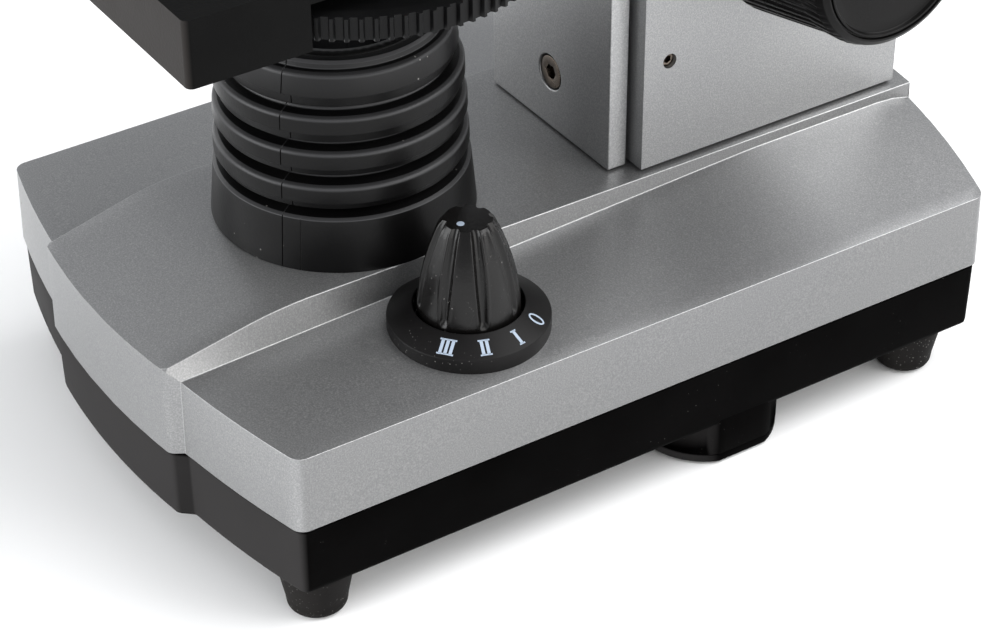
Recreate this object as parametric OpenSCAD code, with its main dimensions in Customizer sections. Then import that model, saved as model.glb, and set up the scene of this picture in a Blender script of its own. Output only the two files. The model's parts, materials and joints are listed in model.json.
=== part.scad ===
// Student microscope with a lower-light tower, a rotary light switch, a disc diaphragm,
// rack-and-pinion focusing, a three-place nosepiece and an inclined eyepiece tube.
// Frame: X to the right, Y to the back (the arm's side), Z up, origin under the middle of the base.

/* [Base] */
// Length of the base from its front edge to its back edge
base_len = 179.5; // [176:0.5:183]
// Width of the base across its back corners
base_w = 120; // [118:0.5:122]
// Height of the rubber feet under the base
foot_h = 9.7; // [9.6:0.1:12]
// Height of the black lower cover
pan_h = 15.5; // [13.5:0.1:16]
// Height of the silver side wall
side_h = 16.5; // [15.5:0.1:17.5]
// Rise of the deck, the raised middle, above the side wall
deck_rise = 8.1; // [7.5:0.1:8.5]
// Half width of the deck at its back end
deck_half = 27.1; // [26.8:0.1:27.4]
// Thickness of the casting's walls
wall = 2.5; // [2:0.1:3]

/* [Light tower and switch] */
// Outer radius of the tower at the deck
tower_r = 26.3; // [25.8:0.1:26.6]
// Height of one ring of the tower
ring_pitch = 7.25; // [7:0.05:7.3]
// Radius of the switch's dial
dial_r = 15.75; // [15:0.05:16]
// Height of the switch knob above its dial
knob_h = 21.2; // [20:0.1:23]
// Angle between two marks of the switch
switch_step = 30; // [25:1:32]

/* [Arm and focusing] */
// Width of the arm
arm_w = 49.9; // [49:0.1:51]
// Depth of the arm's column, front to back
arm_depth = 64.9; // [62:0.1:66]
// Height of the arm's top face
arm_top = 228; // [226:1:232]
// Height of the focus shaft
shaft_z = 101.7; // [98:0.1:104]
// Largest radius of a focus knob
focus_knob_r = 22.5; // [21:0.5:23]
// Teeth on the focus pinion
pinion_teeth = 15; // [15:1:15]
// Module of the rack and pinion
tooth_module = 0.8; // [0.8:0.1:0.8]

/* [Stage] */
// Width of the stage
stage_w = 90; // [88:1:92]
// Depth of the stage
stage_d = 91; // [89:1:91]
// Height of the stage's top face with the stage at its lowest
stage_top = 127.3; // [126:0.1:128]
// Height of the stage's rim
stage_h = 12.9; // [12:0.1:13.2]
// Outer radius of the diaphragm wheel over its teeth
wheel_r = 34.2; // [33.8:0.1:34.6]
// Teeth round the diaphragm wheel
wheel_teeth = 84; // [70:1:100]

/* [Optics] */
// Height of the objectives' shoulder above the ground
shoulder_z = 188.5; // [188:0.5:190]
// Tilt of the nosepiece's axis
nose_tilt = 18; // [17:0.5:18]
// Distance of each objective from the nosepiece's axis
nose_ring = 15.5; // [15:0.1:16]
// Tilt of the eyepiece tube from the vertical
tube_tilt = 45; // [40:1:45]

/* [Hidden] */
$fn = 72;

e = 0.01;                                 // overlap between the pieces of one cut
big = 400;                                // larger than the whole object
clear_run = 0.05;                         // radial clearance of a turning or sliding fit
gap = 0.3;                                // clearance between faces that pass each other

// Heights of the base
pan_z = foot_h;
cover_z = foot_h + pan_h;
shoulder = cover_z + side_h;
deck_z = shoulder + deck_rise;
ramp_y = -63.4;                           // where the deck starts to slope down to the front
ramp_drop = 5.3;                          // how far it slopes down by the front corners
ramp_run = 24.3;

// Plan of the base: arcs centred on X = 0
front_y = -base_len / 2;
back_y = base_len / 2;
nose_arc_r = 174.7;
side_arc_r = 234.5;
side_arc_set = 3.2;                       // how far the side arc's front lies behind the nose arc's
back_arc_r = 204.4;
nose_half = 24.9;
step_out = 2.3;                           // size of the small slanted step beside the nose
crest_y = 46.9;                           // behind this the shoulder's inner edge runs level
crest_z = shoulder + 6.5;
axis_y = -34.4;                           // the optical axis stands at X = 0 and this Y

// Battery tub across the base
tub_y = 22.3;
tub_r = 16;
tub_half = 59.4;
door_t = 1.6;
tub_z = 2.15;                             // underside of the tub's walls
bay_top = 20.4;
cell_r = 6.9;
cell_len = 49.6;

// Screws
base_screw_at = [[48, -63], [-48, -63], [48, 58], [-48, 58]];
foot_at = [[51, -72.3], [-51, -72.3], [51.7, 70.5], [-51.7, 70.5]];
arm_screw_at = [[15, 50], [-15, 50], [15, 70], [-15, 70]];

// Tower
ring_n = 4;
tower_top = deck_z + 43;
tower_bore = 15;
ring_lip = 0.8;
plinth_h = 11.05;
groove_r = 21;
function ring_r(i) = i == ring_n ? 23.1 : 25.05 - 0.38 * (i - 1);
function ring_z(i) = deck_z + plinth_h + (i - 1) * ring_pitch + 2.3;

// Switch
switch_at = [40.8, -31.2];
dial_z = 45.1;
dial_cone = 2.6;                          // rise of the dial's face from its rim to the knob
dial_floor = 41.6;
knob_z = 43;
shaft_r = 3;

// Arm
arm_y = 19.95;
arm_back = arm_y + arm_depth;
arm_z = deck_z + 0.8;
arm_bend_z = arm_top - arm_depth;
beam_z = 204;
beam_fillet = 16;
bay_x = 20.4;
bay_y = 22.4;
shaft_y = 55;

// Rack and pinion
pinion_r = tooth_module * pinion_teeth / 2;
rack_y = shaft_y - pinion_r;
tooth_pitch = PI * tooth_module;
pressure = 20;
backlash = 0.16;

// Carriage and stage
slab_half = 21.06;
slab_y = 14.5;
slab_t = 4.85;
slab_z = deck_z + 0.35;
slab_top = 123.9;
carriage_screw_z = [62.7, 108];
stage_front = -87.9;
stage_z = stage_top - stage_h;
plate_t = 3;
plate_z = stage_top - plate_t;
aperture_r = 14;
wheel_at = [19.1, -39.75];
wheel_z = stage_z + 1.2;
wheel_t = 4.4;
stop_ring = norm([wheel_at[0], wheel_at[1] - axis_y]);
stop_angle = atan2(axis_y - wheel_at[1], -wheel_at[0]);
stop_r = [7, 5.5, 4, 3, 2, 1];
clip_at = [31, -2.5];
clip_z = stage_top + 1;

// Nosepiece: the objectives' axes meet at the apex
apex_d = nose_ring / sin(nose_tilt);
apex_z = shoulder_z + apex_d;
disc_d = nose_ring / tan(nose_tilt);
turret_r = 28;
turret_t = 5;
nose_bolt_r = 3;

// Head
collar_z = arm_top;
collar_h = 5;
head_z = collar_z + collar_h + gap;
prism_z = 249;
tube_start = 24;
tube_len = 38;
tube_r = 14.5;
barrel_r = 11.6;
eyepiece_len = 18;

// ---------------------------------------------------------------- helpers

module on_axis() { translate([0, axis_y, 0]) children(); }

module ring(r_out, r_in, h) {
    difference() {
        cylinder(r = r_out, h = h);
        translate([0, 0, -1]) cylinder(r = r_in, h = h + 2);
    }
}

// A block from corner a to corner b
module block(a, b) { translate(a) cube(b - a); }

// Both sides of the microscope
module both_sides() {
    children();
    mirror([1, 0, 0]) children();
}

// The local Z axis becomes the right-hand X axis
module along_x() { rotate([0, 90, 0]) children(); }

// A shape drawn in the Y-Z plane and given a width along X
module side_extrude(w) {
    translate([-w / 2, 0, 0]) rotate([90, 0, 90]) linear_extrude(w) children();
}

// The place and direction of objective k: the origin lies on its shoulder, +Z points at the apex
module at_objective(k) {
    translate([0, axis_y, apex_z]) rotate([-nose_tilt, 0, 0]) rotate([0, 0, 120 * k])
        rotate([nose_tilt, 0, 0]) translate([0, 0, -apex_d]) children();
}

// The nosepiece's own axis: the origin lies in the plane of the shoulders, +Z points at the apex
module at_nosepiece() {
    translate([0, axis_y, apex_z]) rotate([-nose_tilt, 0, 0]) translate([0, 0, -disc_d]) children();
}

// The eyepiece tube's axis, from the prism outwards
module at_tube() {
    translate([0, axis_y, prism_z]) rotate([-tube_tilt, 0, 0]) children();
}

// A pan-head screw with its head's underside at the origin and its shank along +Z
module screw(head_r, head_t, shank_r, shank_len) {
    difference() {
        union() {
            translate([0, 0, -head_t]) cylinder(r = head_r, h = head_t + e);
            cylinder(r = shank_r, h = shank_len);
        }
        translate([0, 0, -head_t - 1]) cylinder(r = head_r * 0.5, h = 1 + head_t * 0.5, $fn = 6);
    }
}

// ---------------------------------------------------------------- base

module long_arc(y, r, inset) { translate([0, y]) circle(r = r - inset, $fn = 360); }

// Sides of the base, which spread a little to the back
module side_strip(half_front, half_back, inset) {
    polygon([[inset - half_front, front_y - 5], [half_front - inset, front_y - 5],
             [half_back - inset, back_y + 5], [inset - half_back, back_y + 5]]);
}

// The outline of the casing, with the nose that stands out between two small steps
module base_outline(inset = 0) {
    intersection() {
        union() {
            intersection() {
                long_arc(front_y + side_arc_set + side_arc_r, side_arc_r, inset);
                side_strip(base_w / 2 - 1, base_w / 2 + 0.1, inset);
            }
            intersection() {
                long_arc(front_y + nose_arc_r, nose_arc_r, inset);
                polygon([for (s = [-1, 1], p = s < 0 ? [0, 1, 2, 3] : [3, 2, 1, 0])
                    [s * ([nose_half, nose_half, nose_half + step_out, nose_half + step_out][p] - inset),
                     [front_y - 5, front_y + 2, front_y + 2 + step_out, 0][p]]]);
            }
        }
        long_arc(back_y - back_arc_r, back_arc_r, inset);
        square([big, base_len * 0.999 + 20], center = true);
    }
}

module deck_outline(inset = 0) {
    intersection() {
        long_arc(front_y + nose_arc_r, nose_arc_r, inset);
        long_arc(back_y - back_arc_r, back_arc_r, inset);
        side_strip(nose_half, deck_half, inset);
    }
}

// The deck's front slopes down to the nose
module ramp_cut() {
    translate([-big / 2, ramp_y, deck_z]) rotate([atan(ramp_drop / ramp_run), 0, 0])
        translate([0, -big / 2, 0]) cube([big, big / 2, 20]);
}

function shoulder_rise(y) =
    0.75 + (crest_z - shoulder - 0.75) * min(1, max(0, (y - front_y - 3.9) / (crest_y - front_y - 3.9)));

// The shoulder rises from the level outer edge to the deck, more and more to the back
module shoulder_wedge() {
    ys = concat([for (i = [0:8]) front_y - 1 + i * (crest_y - front_y + 1) / 8], [back_y + 1]);
    x_in = nose_half;
    section = 4;
    points = [for (y = ys) for (p = [[x_in, -0.5], [x_in, shoulder_rise(y)],
                                     [base_w / 2 + 1, -0.05], [base_w / 2 + 1, -0.5]])
        [p[0], y, shoulder + p[1]]];
    last = section * (len(ys) - 1);
    walls = [for (i = [0:len(ys) - 2]) for (j = [0:section - 1])
        let (a = section * i + j, b = section * i + (j + 1) % section, c = a + section, d = b + section)
        each [[a, c, b], [b, c, d]]];
    ends = [[0, 1, 2, 3], [last + 3, last + 2, last + 1, last]];
    polyhedron(points = points, faces = concat(walls, ends), convexity = 4);
}

module base_cover() {
    color("silver") difference() {
        union() {
            translate([0, 0, cover_z]) linear_extrude(side_h) base_outline();
            intersection() {
                union() {
                    shoulder_wedge();
                    mirror([1, 0, 0]) shoulder_wedge();
                }
                translate([0, 0, cover_z]) linear_extrude(side_h + deck_rise) base_outline();
            }
            difference() {
                translate([0, 0, shoulder - 1]) linear_extrude(deck_rise + 1) deck_outline();
                ramp_cut();
            }
        }
        translate([0, 0, cover_z - 1]) linear_extrude(side_h - wall + 1) base_outline(wall);
        intersection() {
            translate([0, 0, shoulder - wall - 1]) linear_extrude(deck_rise + 1) deck_outline(wall);
            block([-big, ramp_y + 4, 0], [big, back_y - 4, deck_z]);
        }
        // seat and hole of the switch
        translate([switch_at[0], switch_at[1], dial_floor]) cylinder(r = dial_r + 0.1, h = 20);
        translate([switch_at[0], switch_at[1], cover_z]) cylinder(r = 4.6, h = 40);
        // holes for the lower light, the arm's screws and the wiring
        on_axis() translate([0, 0, cover_z]) cylinder(r = 12, h = 40);
        for (p = arm_screw_at) translate([p[0], p[1], cover_z]) cylinder(r = 2.2, h = 40);
        translate([0, 36, cover_z]) cylinder(r = 5, h = 40);
        // hole of the power jack
        translate([-36, back_y - 20, jack_z]) rotate([-90, 0, 0]) cylinder(r = 4.2, h = 40);
    }
    color("silver") for (p = base_screw_at) translate([p[0], p[1], cover_z + 0.4])
        ring(3.6, 1.3, side_h - wall - 0.4 + e);
}

jack_z = cover_z + 8;

module stadium(half, r) {
    for (s = [-1, 1]) translate([s * (half - r), 0]) circle(r = r);
    square([2 * (half - r), 2 * r], center = true);
}

// Plan of the battery tub: round ends cut flush with the base's sides
module tub_outline(inset = 0) {
    translate([0, tub_y]) intersection() {
        stadium(tub_half + 0.85, tub_r - inset);
        square([2 * (tub_half - inset), big], center = true);
    }
}

module base_pan() {
    color("#1c1c1e") difference() {
        union() {
            translate([0, 0, pan_z]) linear_extrude(pan_h - 1.2) base_outline(0.1);
            translate([0, 0, pan_z + pan_h - 1.3]) linear_extrude(1.2) base_outline(0.9);
            translate([0, 0, pan_z + pan_h - 0.2]) linear_extrude(2) base_outline(wall + 0.15);
            translate([0, 0, tub_z]) linear_extrude(pan_z - tub_z + 5) tub_outline();
        }
        translate([0, 0, pan_z + 2]) linear_extrude(pan_h + 2) base_outline(wall + 1.9);
        translate([0, 0, tub_z - 1]) linear_extrude(bay_top) tub_outline(1);
        for (p = base_screw_at) translate([p[0], p[1], pan_z - 1]) cylinder(r = 1.7, h = 30);
        for (p = foot_at) translate([p[0], p[1], pan_z - 1]) cylinder(r = 2.6, h = 10);
    }
    color("#1c1c1e") for (p = base_screw_at) translate([p[0], p[1], pan_z + 2 - e])
        ring(3.6, 1.7, pan_h - 1.8);
    // the bay that holds the cells, closed on top
    color("#1c1c1e") difference() {
        translate([0, 0, pan_z + 1]) linear_extrude(bay_top - pan_z - 1)
            intersection() {
                tub_outline(0);
                base_outline(wall + 2.2);
            }
        translate([0, 0, tub_z - 1]) linear_extrude(bay_top - tub_z - 0.6)
            intersection() {
                tub_outline(1);
                base_outline(wall + 4);
            }
    }
}

module feet() {
    profile = [[0, 0.5], [2.2, 0.5], [2.6, 0], [4.2, 0], [5.5, 0.8], [5.95, 2.5], [6.7, foot_h], [0, foot_h]];
    color("#232325") for (p = foot_at) translate([p[0], p[1], 0]) {
        rotate_extrude() polygon(profile);
        translate([0, 0, foot_h - e]) cylinder(r = 2.5, h = 2);
    }
}

module base_screws() {
    color("#8a8a8c") for (p = base_screw_at) translate([p[0], p[1], pan_z - e])
        translate([0, 0, 0]) screw(2.8, 1.6, 1.25, 22);
}

module battery_door() {
    color("#1c1c1e") difference() {
        translate([0, 0, tub_z - door_t - 0.1]) linear_extrude(door_t) tub_outline(0.1);
        // finger grooves
        for (x = [-6, -3, 0, 3, 6]) translate([x, tub_y + 8, tub_z - door_t]) cube([1.2, 9, 1.2], center = true);
    }
}

module each_cell() {
    for (sx = [-1, 1], sy = [-1, 1])
        translate([sx * (cell_len / 2 + 0.9), tub_y + sy * (cell_r + 0.15), tub_z + cell_r + 0.3])
            rotate([0, 90 * sx * sy, 0]) children();
}

module batteries() {
    color("#c8862c") each_cell() translate([0, 0, -cell_len / 2]) {
        cylinder(r = cell_r, h = cell_len - 1.2);
        cylinder(r = 2.7, h = cell_len);
    }
}

module battery_contacts() {
    color("#c9c9c4") for (s = [-1, 1]) {
        block([s * 51 - 0.3, tub_y - 13.6, tub_z + 2], [s * 51 + 0.3, tub_y + 13.6, tub_z + 13]);
        block([s * 0.55 - 0.3, tub_y - s * 7.05 - 5, tub_z + 2], [s * 0.55 + 0.3, tub_y - s * 7.05 + 5, tub_z + 13]);
    }
}

module main_board() {
    color("#1f6b3a") difference() {
        block([-30, 46, 27], [30, 74, 28.6]);
        for (x = [-26, 26], y = [50, 70]) translate([x, y, 20]) cylinder(r = 1.5, h = 20);
    }
    color("#2a2a2a") {
        block([-10, 54, 28.6 - e], [-2, 62, 30.6]);
        block([6, 52, 28.6 - e], [14, 58, 32.6]);
        translate([-20, 60, 28.6 - e]) cylinder(r = 3.2, h = 8);
    }
}

module power_jack() {
    color("#1a1a1a") translate([-36, back_y - 4.9, jack_z]) rotate([-90, 0, 0]) difference() {
        union() {
            translate([0, 0, -11]) cylinder(r = 4, h = 14.5);
            translate([0, 0, -11]) cylinder(r = 5.4, h = 8);
        }
        translate([0, 0, -8]) cylinder(r = 2.8, h = 20);
    }
    color("#c9c9c4") translate([-36, back_y - 4.9, jack_z]) rotate([-90, 0, 0])
        translate([0, 0, -9]) cylinder(r = 0.9, h = 11);
}

// ---------------------------------------------------------------- light tower and switch

// Half section of the tower: a plinth and stacked rings, each with a narrower lip under it
module light_tower() {
    rings = [for (i = [1:ring_n]) let (r = ring_r(i), z = ring_z(i), h = ring_pitch - 2.3, k = i == ring_n ? 1.6 : 0.5)
        each [[groove_r, z], [r - ring_lip, z], [r - ring_lip, z + 1.4], [r, z + 1.8],
              [r - 0.08, z + h - k], [r - k, z + h], [groove_r, z + h]]];
    top = tower_top - 1.2;
    profile = concat([[tower_bore, deck_z], [tower_r - 0.2, deck_z], [tower_r - 0.9, deck_z + plinth_h - 0.5],
                      [tower_r - 1.4, deck_z + plinth_h], [groove_r, deck_z + plinth_h]],
                     rings, [[groove_r - 0.5, ring_z(ring_n) + 5.2], [groove_r - 0.5, top - 0.7],
                      [groove_r - 1.2, top], [18.1, top], [18.1, top - 6], [tower_bore, top - 6]]);
    color("#1b1b1c") on_axis() rotate_extrude() polygon(profile);
}

module lens_ring() {
    z = tower_top - 7.2;
    color("#202022") on_axis() translate([0, 0, z]) difference() {
        cylinder(r = 18, h = 7.2);
        translate([0, 0, 1.5]) cylinder(r = 15.6, h = 9);
        translate([0, 0, -1]) cylinder(r = 13.6, h = 9);
    }
}

module tower_lens() {
    z = tower_top - 5.65;
    bulge_r = 44;
    color([0.75, 0.85, 0.9, 0.5]) on_axis() intersection() {
        translate([0, 0, z]) cylinder(r = 15.5, h = 6);
        translate([0, 0, z + 3 - bulge_r]) sphere(r = bulge_r);
    }
}

module lower_led_board() {
    color("#e8e8e4") on_axis() translate([0, 0, deck_z + 0.1]) {
        difference() {
            cylinder(r = 14.6, h = 1.6);
            translate([0, 0, -1]) cylinder(r = 1.5, h = 4);
            for (a = [0:120:359]) rotate(a) translate([11.5, 0, -1]) cylinder(r = 1.5, h = 4);
        }
    }
}

module lower_led() {
    color("#f5e9b0") on_axis() translate([0, 0, deck_z + 1.75]) {
        cylinder(r = 4, h = 2);
        translate([0, 0, 2 - e]) intersection() {
            sphere(r = 3);
            cylinder(r = 4, h = 4);
        }
    }
}

module at_switch() { translate([switch_at[0], switch_at[1], 0]) children(); }

module dial_skirt() {
    hole = 10.6;
    color("#1a1a1b") at_switch() difference() {
        rotate_extrude() polygon([[4.6, dial_floor], [dial_r, dial_floor], [dial_r, dial_z],
            [hole, dial_z + dial_cone], [hole, knob_z - 0.4], [4.6, knob_z - 0.4]]);
        // shallow marks that hold the paint: three bars, two bars and one bar
        for (k = [0:2], i = [0:2 - k]) rotate(-51.5 + switch_step * k)
            translate([dial_r, (i - (2 - k) / 2) - 0.3, dial_z]) rotate([0, atan(dial_cone / (dial_r - hole)), 0])
                translate([-4.4, 0, -0.2]) cube([3.2, 0.6, 1]);
    }
}

module rotary_switch() {
    color("#3a3a3c") at_switch() difference() {
        union() {
            block([-9, -9, cover_z + 3.4], [9, 9, shoulder - wall - 0.1]);
            cylinder(r = 4.4, h = dial_floor + 0.8);
        }
        cylinder(r = shaft_r + clear_run, h = 80);
        translate([0, 0, -1]) cylinder(r = 20, h = cover_z + 3.4);
    }
}

module switch_shaft() {
    color("#b8b8b8") at_switch() difference() {
        translate([0, 0, cover_z + 4]) cylinder(r = shaft_r, h = 28);
        block([shaft_r - 1, -5, knob_z + 1], [shaft_r + 2, 5, 90]);
    }
}

// Half section of the knob: a bullet with a flat top
knob_profile = [[0, 0], [9.9, 0], [9.95, 2.1], [9.8, 6], [9.3, 10.5], [8.6, 14.4], [7.8, 17.3],
                [6.5, 21.1], [5.4, dial_z + knob_h - knob_z - 0.4], [4.6, dial_z + knob_h - knob_z], [0, dial_z + knob_h - knob_z]];

module switch_knob() {
    flutes = 8;
    color("#202021") at_switch() translate([0, 0, knob_z]) difference() {
        rotate_extrude() polygon(knob_profile);
        translate([0, 0, -1]) cylinder(r = shaft_r + 0.02, h = 14);
        translate([0, 0, -e]) ring(8.2, 5.2, 9);
        for (k = [0:flutes - 1]) rotate(k * 360 / flutes - 60) translate([11.6, 0, 3])
            rotate([0, -16, 0]) cylinder(r = 1.9, h = 40, $fn = 24);
    }
}

// ---------------------------------------------------------------- arm

// Side view of the arm: a column, a quarter-round back corner and a beam over the stage
module arm_profile(inset = 0) {
    translate([arm_y + inset, arm_z]) square([arm_depth - 2 * inset, arm_bend_z - arm_z]);
    intersection() {
        translate([arm_y, arm_bend_z]) circle(r = arm_depth - inset, $fn = 180);
        translate([arm_y + inset, arm_bend_z - e]) square([big, big]);
    }
    if (inset == 0) {
        translate([axis_y - arm_w / 2, beam_z]) square([arm_y - axis_y + arm_w / 2 + 1, arm_top - beam_z]);
        difference() {
            translate([arm_y - beam_fillet, beam_z - beam_fillet]) square(beam_fillet + 1);
            translate([arm_y - beam_fillet, beam_z - beam_fillet]) circle(r = beam_fillet);
        }
    }
}

// Plan of the arm: its front end is round about the optical axis
module arm_plan() {
    translate([0, axis_y]) circle(r = arm_w / 2);
    translate([-arm_w / 2, axis_y]) square([arm_w, big]);
}

back_cover_z = [64, 160];

module arm() {
    color("silver") difference() {
        intersection() {
            side_extrude(arm_w + 2) arm_profile();
            linear_extrude(big) arm_plan();
        }
        // the hollow for the focusing gear
        intersection() {
            side_extrude(2 * bay_x) arm_profile(bay_y - arm_y);
            block([-big, bay_y, arm_z + 4], [big, arm_back - 5, 192]);
        }
        // front slot for the slider
        block([-10, 0, arm_z + 4], [10, bay_y + e, 172]);
        // bores of the shaft bushes
        translate([-big / 2, shaft_y, shaft_z]) along_x() cylinder(r = 6, h = big);
        // back opening and the seat of its cover
        block([-16, arm_back - 8, back_cover_z[0] + 3], [16, arm_back + 1, back_cover_z[1] - 3]);
        block([-19, arm_back - 2.4, back_cover_z[0]], [19, arm_back + 1, back_cover_z[1]]);
        // screws up from the deck, set screws of the gib, light path, upper lamp
        for (p = arm_screw_at) translate([p[0], p[1], 0]) cylinder(r = 1.7, h = arm_z + 5);
        for (z = gib_z) translate([-big / 2, gib_y, z]) along_x() cylinder(r = 1.6, h = big);
        translate([0, 36, 0]) cylinder(r = 5, h = arm_z + 5);
        on_axis() translate([0, 0, beam_z - 1]) cylinder(r = 6.5, h = 60);
        on_axis() translate([0, 0, arm_top - 6]) cylinder(r = 18.3, h = 10);
        at_lamp() cylinder(r = 5.1, h = 40);
    }
}

gib_y = 26.1;
gib_z = [73.75, 150];

// The upper lamp sits in the inner corner of the arm and looks down at the stage
module at_lamp() { translate([0, 7.5, 192]) rotate([-36, 0, 0]) children(); }

module arm_gasket() {
    color("#141414") difference() {
        translate([0, 0, deck_z]) linear_extrude(arm_z - deck_z)
            translate([-arm_w / 2 + 0.7, arm_y + 0.7]) square([arm_w - 1.4, arm_depth - 1.4]);
        for (p = arm_screw_at) translate([p[0], p[1], deck_z - 1]) cylinder(r = 2.2, h = 4);
        translate([0, 36, deck_z - 1]) cylinder(r = 5, h = 4);
    }
}

module arm_screws() {
    color("#8a8a8c") for (p = arm_screw_at)
        translate([p[0], p[1], deck_z - wall - 0.2]) screw(3.4, 2, 1.65, 5.9);
}

module arm_back_cover() {
    color("silver") difference() {
        union() {
            block([-18.8, arm_back - 2.3, back_cover_z[0] + 0.2], [18.8, arm_back, back_cover_z[1] - 0.2]);
            block([-15.8, arm_back - 4, back_cover_z[0] + 3.2], [15.8, arm_back - 2.2, back_cover_z[1] - 3.2]);
        }
        for (z = [back_cover_z[0] + 8, back_cover_z[1] - 8]) translate([0, arm_back - 1.2, z])
            rotate([-90, 0, 0]) cylinder(r = 2.4, h = 3);
    }
}

// Half section of a dovetail from its narrow mouth to its wide back
dove_mouth = 9;
dove_back = 13;
dove_y = [23.4, 32];

module guide_rails() {
    color("#c9a24b") both_sides() translate([0, 0, 58]) linear_extrude(112) polygon([
        [dove_mouth + gap, bay_y + 0.1], [bay_x - 0.1, bay_y + 0.1], [bay_x - 0.1, dove_y[1] + 2],
        [dove_back + gap, dove_y[1] + 2], [dove_back + gap, dove_y[1]], [dove_mouth + gap, dove_y[0]]]);
}

module gib_screws() {
    color("#7c7c7e") both_sides() for (z = gib_z) translate([bay_x + 0.1, gib_y, z]) along_x() difference() {
        cylinder(r = 1.55, h = 3.6);
        translate([0, 0, 2.1]) cylinder(r = 0.9, h = 3, $fn = 6);
    }
}

module shaft_bushes() {
    color("#c9a24b") both_sides() translate([0, shaft_y, shaft_z]) along_x() translate([0, 0, bay_x - 1]) difference() {
        union() {
            cylinder(r = 5.98, h = arm_w / 2 - bay_x + 2);
            translate([0, 0, arm_w / 2 - bay_x + 1 + e]) cylinder(r = 8, h = 1.2);
            translate([0, 0, -1]) cylinder(r = 7.5, h = 2 - 0.1);
        }
        translate([0, 0, -3]) cylinder(r = 4 + clear_run, h = 20);
    }
}

// ---------------------------------------------------------------- focusing

module focus_shaft() {
    color("#bcbcbe") translate([-52, shaft_y, shaft_z]) along_x() cylinder(r = 4, h = 104);
}

function involute(rb, t) = [rb * (cos(t) + t * PI / 180 * sin(t)), rb * (sin(t) - t * PI / 180 * cos(t))];
function spin(p, a) = [p[0] * cos(a) - p[1] * sin(a), p[0] * sin(a) + p[1] * cos(a)];

// Outline of the pinion: involute flanks on a root circle
module pinion_outline() {
    rb = pinion_r * cos(pressure);
    tip = pinion_r + 0.75 * tooth_module;
    root = pinion_r - 1.15 * tooth_module;
    t_max = sqrt(pow(tip / rb, 2) - 1) * 180 / PI;
    inv_pitch = (tan(pressure) - pressure * PI / 180) * 180 / PI;
    half = 90 / pinion_teeth + inv_pitch - backlash / 4 / pinion_r * 180 / PI;
    steps = 5;
    flank = concat([[root, 0]], [for (i = [0:steps]) involute(rb, t_max * i / steps)]);
    last = len(flank) - 1;
    polygon([for (k = [0:pinion_teeth - 1]) let (a = k * 360 / pinion_teeth) each concat(
        [for (i = [0:last]) spin(flank[i], a - half)],
        [for (i = [0:last]) spin([flank[last - i][0], -flank[last - i][1]], a + half)])]);
}

module focus_pinion() {
    color("#b9953f") translate([0, shaft_y, shaft_z]) along_x() translate([0, 0, -6]) difference() {
        union() {
            rotate(-90) linear_extrude(12) pinion_outline();
            translate([0, 0, 12 - e]) cylinder(r = 7.5, h = 5);
        }
        translate([0, 0, -1]) cylinder(r = 4.02, h = 20);
    }
}

// Half section of a focus knob from its inner face to its rim
module knob_body() {
    len = 28.5;
    r = focus_knob_r;
    profile = [[4.02, 3], [9, 3], [9, 0.2], [r - 2, 0], [r - 0.6, 0.5], [r, 2], [r - 3.4, len - 5.6], [r - 3.9, len - 5],
               [r - 3.9, len - 3.4], [r - 4.3, len - 1.6], [r - 6.3, len], [r - 7.6, len], [r - 7.6, len - 3.2],
               [r - 8.6, len - 3.2], [r - 8.6, len - 6], [4.02, len - 6]];
    ribs = 48;
    difference() {
        rotate_extrude() polygon(profile);
        for (k = [0:ribs - 1]) rotate(k * 360 / ribs) translate([r + 0.15, 0, 4]) rotate([0, -8.7, 0])
            cylinder(r = 0.7, h = len - 13, $fn = 16);
    }
}

module focus_knob_right() {
    color("#1c1c1d") translate([28.5, shaft_y, shaft_z]) along_x() knob_body();
}

module focus_knob_left() {
    color("#1c1c1d") mirror([1, 0, 0]) translate([28.5, shaft_y, shaft_z]) along_x() knob_body();
}

module focus_knob_caps() {
    color("#232324") both_sides() translate([28.5 + 22.6, shaft_y, shaft_z]) along_x() {
        translate([0, 0, 1]) cylinder(r = focus_knob_r - 8.7, h = 3.4);
    }
}

module stage_carriage() {
    color("silver") difference() {
        block([-slab_half, slab_y, slab_z], [slab_half, slab_y + slab_t, slab_top]);
        for (z = carriage_screw_z) translate([0, slab_y, z]) rotate([-90, 0, 0]) {
            translate([0, 0, -1]) cylinder(r = 3.9, h = 4.1);
            translate([0, 0, -1]) cylinder(r = 2.1, h = 20);
        }
    }
}

// Socket-head screws, sunk in their counterbores
module carriage_screws() {
    color("#8f8f92") for (z = carriage_screw_z) translate([0, slab_y + 0.3, z]) rotate([-90, 0, 0]) difference() {
        union() {
            cylinder(r = 3.5, h = 2.7);
            cylinder(r = 1.95, h = 14);
        }
        translate([0, 0, -1]) cylinder(r = 1.7, h = 2.8, $fn = 6);
    }
}

slider_z = [60, 148];
rack_span = [76, 116];

module focus_slider() {
    color("#9a9a9c") difference() {
        translate([0, 0, slider_z[0]]) linear_extrude(slider_z[1] - slider_z[0]) {
            polygon([[-dove_mouth, slab_y + slab_t + 0.02], [dove_mouth, slab_y + slab_t + 0.02],
                     [dove_mouth, dove_y[0]], [dove_back, dove_y[1]], [dove_back, dove_y[1] + 2],
                     [-dove_back, dove_y[1] + 2], [-dove_back, dove_y[1]], [-dove_mouth, dove_y[0]]]);
            translate([-6, dove_y[1] + 1]) square([12, rack_y - dove_y[1] - 4]);
        }
        for (z = carriage_screw_z) translate([0, slab_y, z]) rotate([-90, 0, 0]) cylinder(r = 2, h = 20);
    }
}

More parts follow.
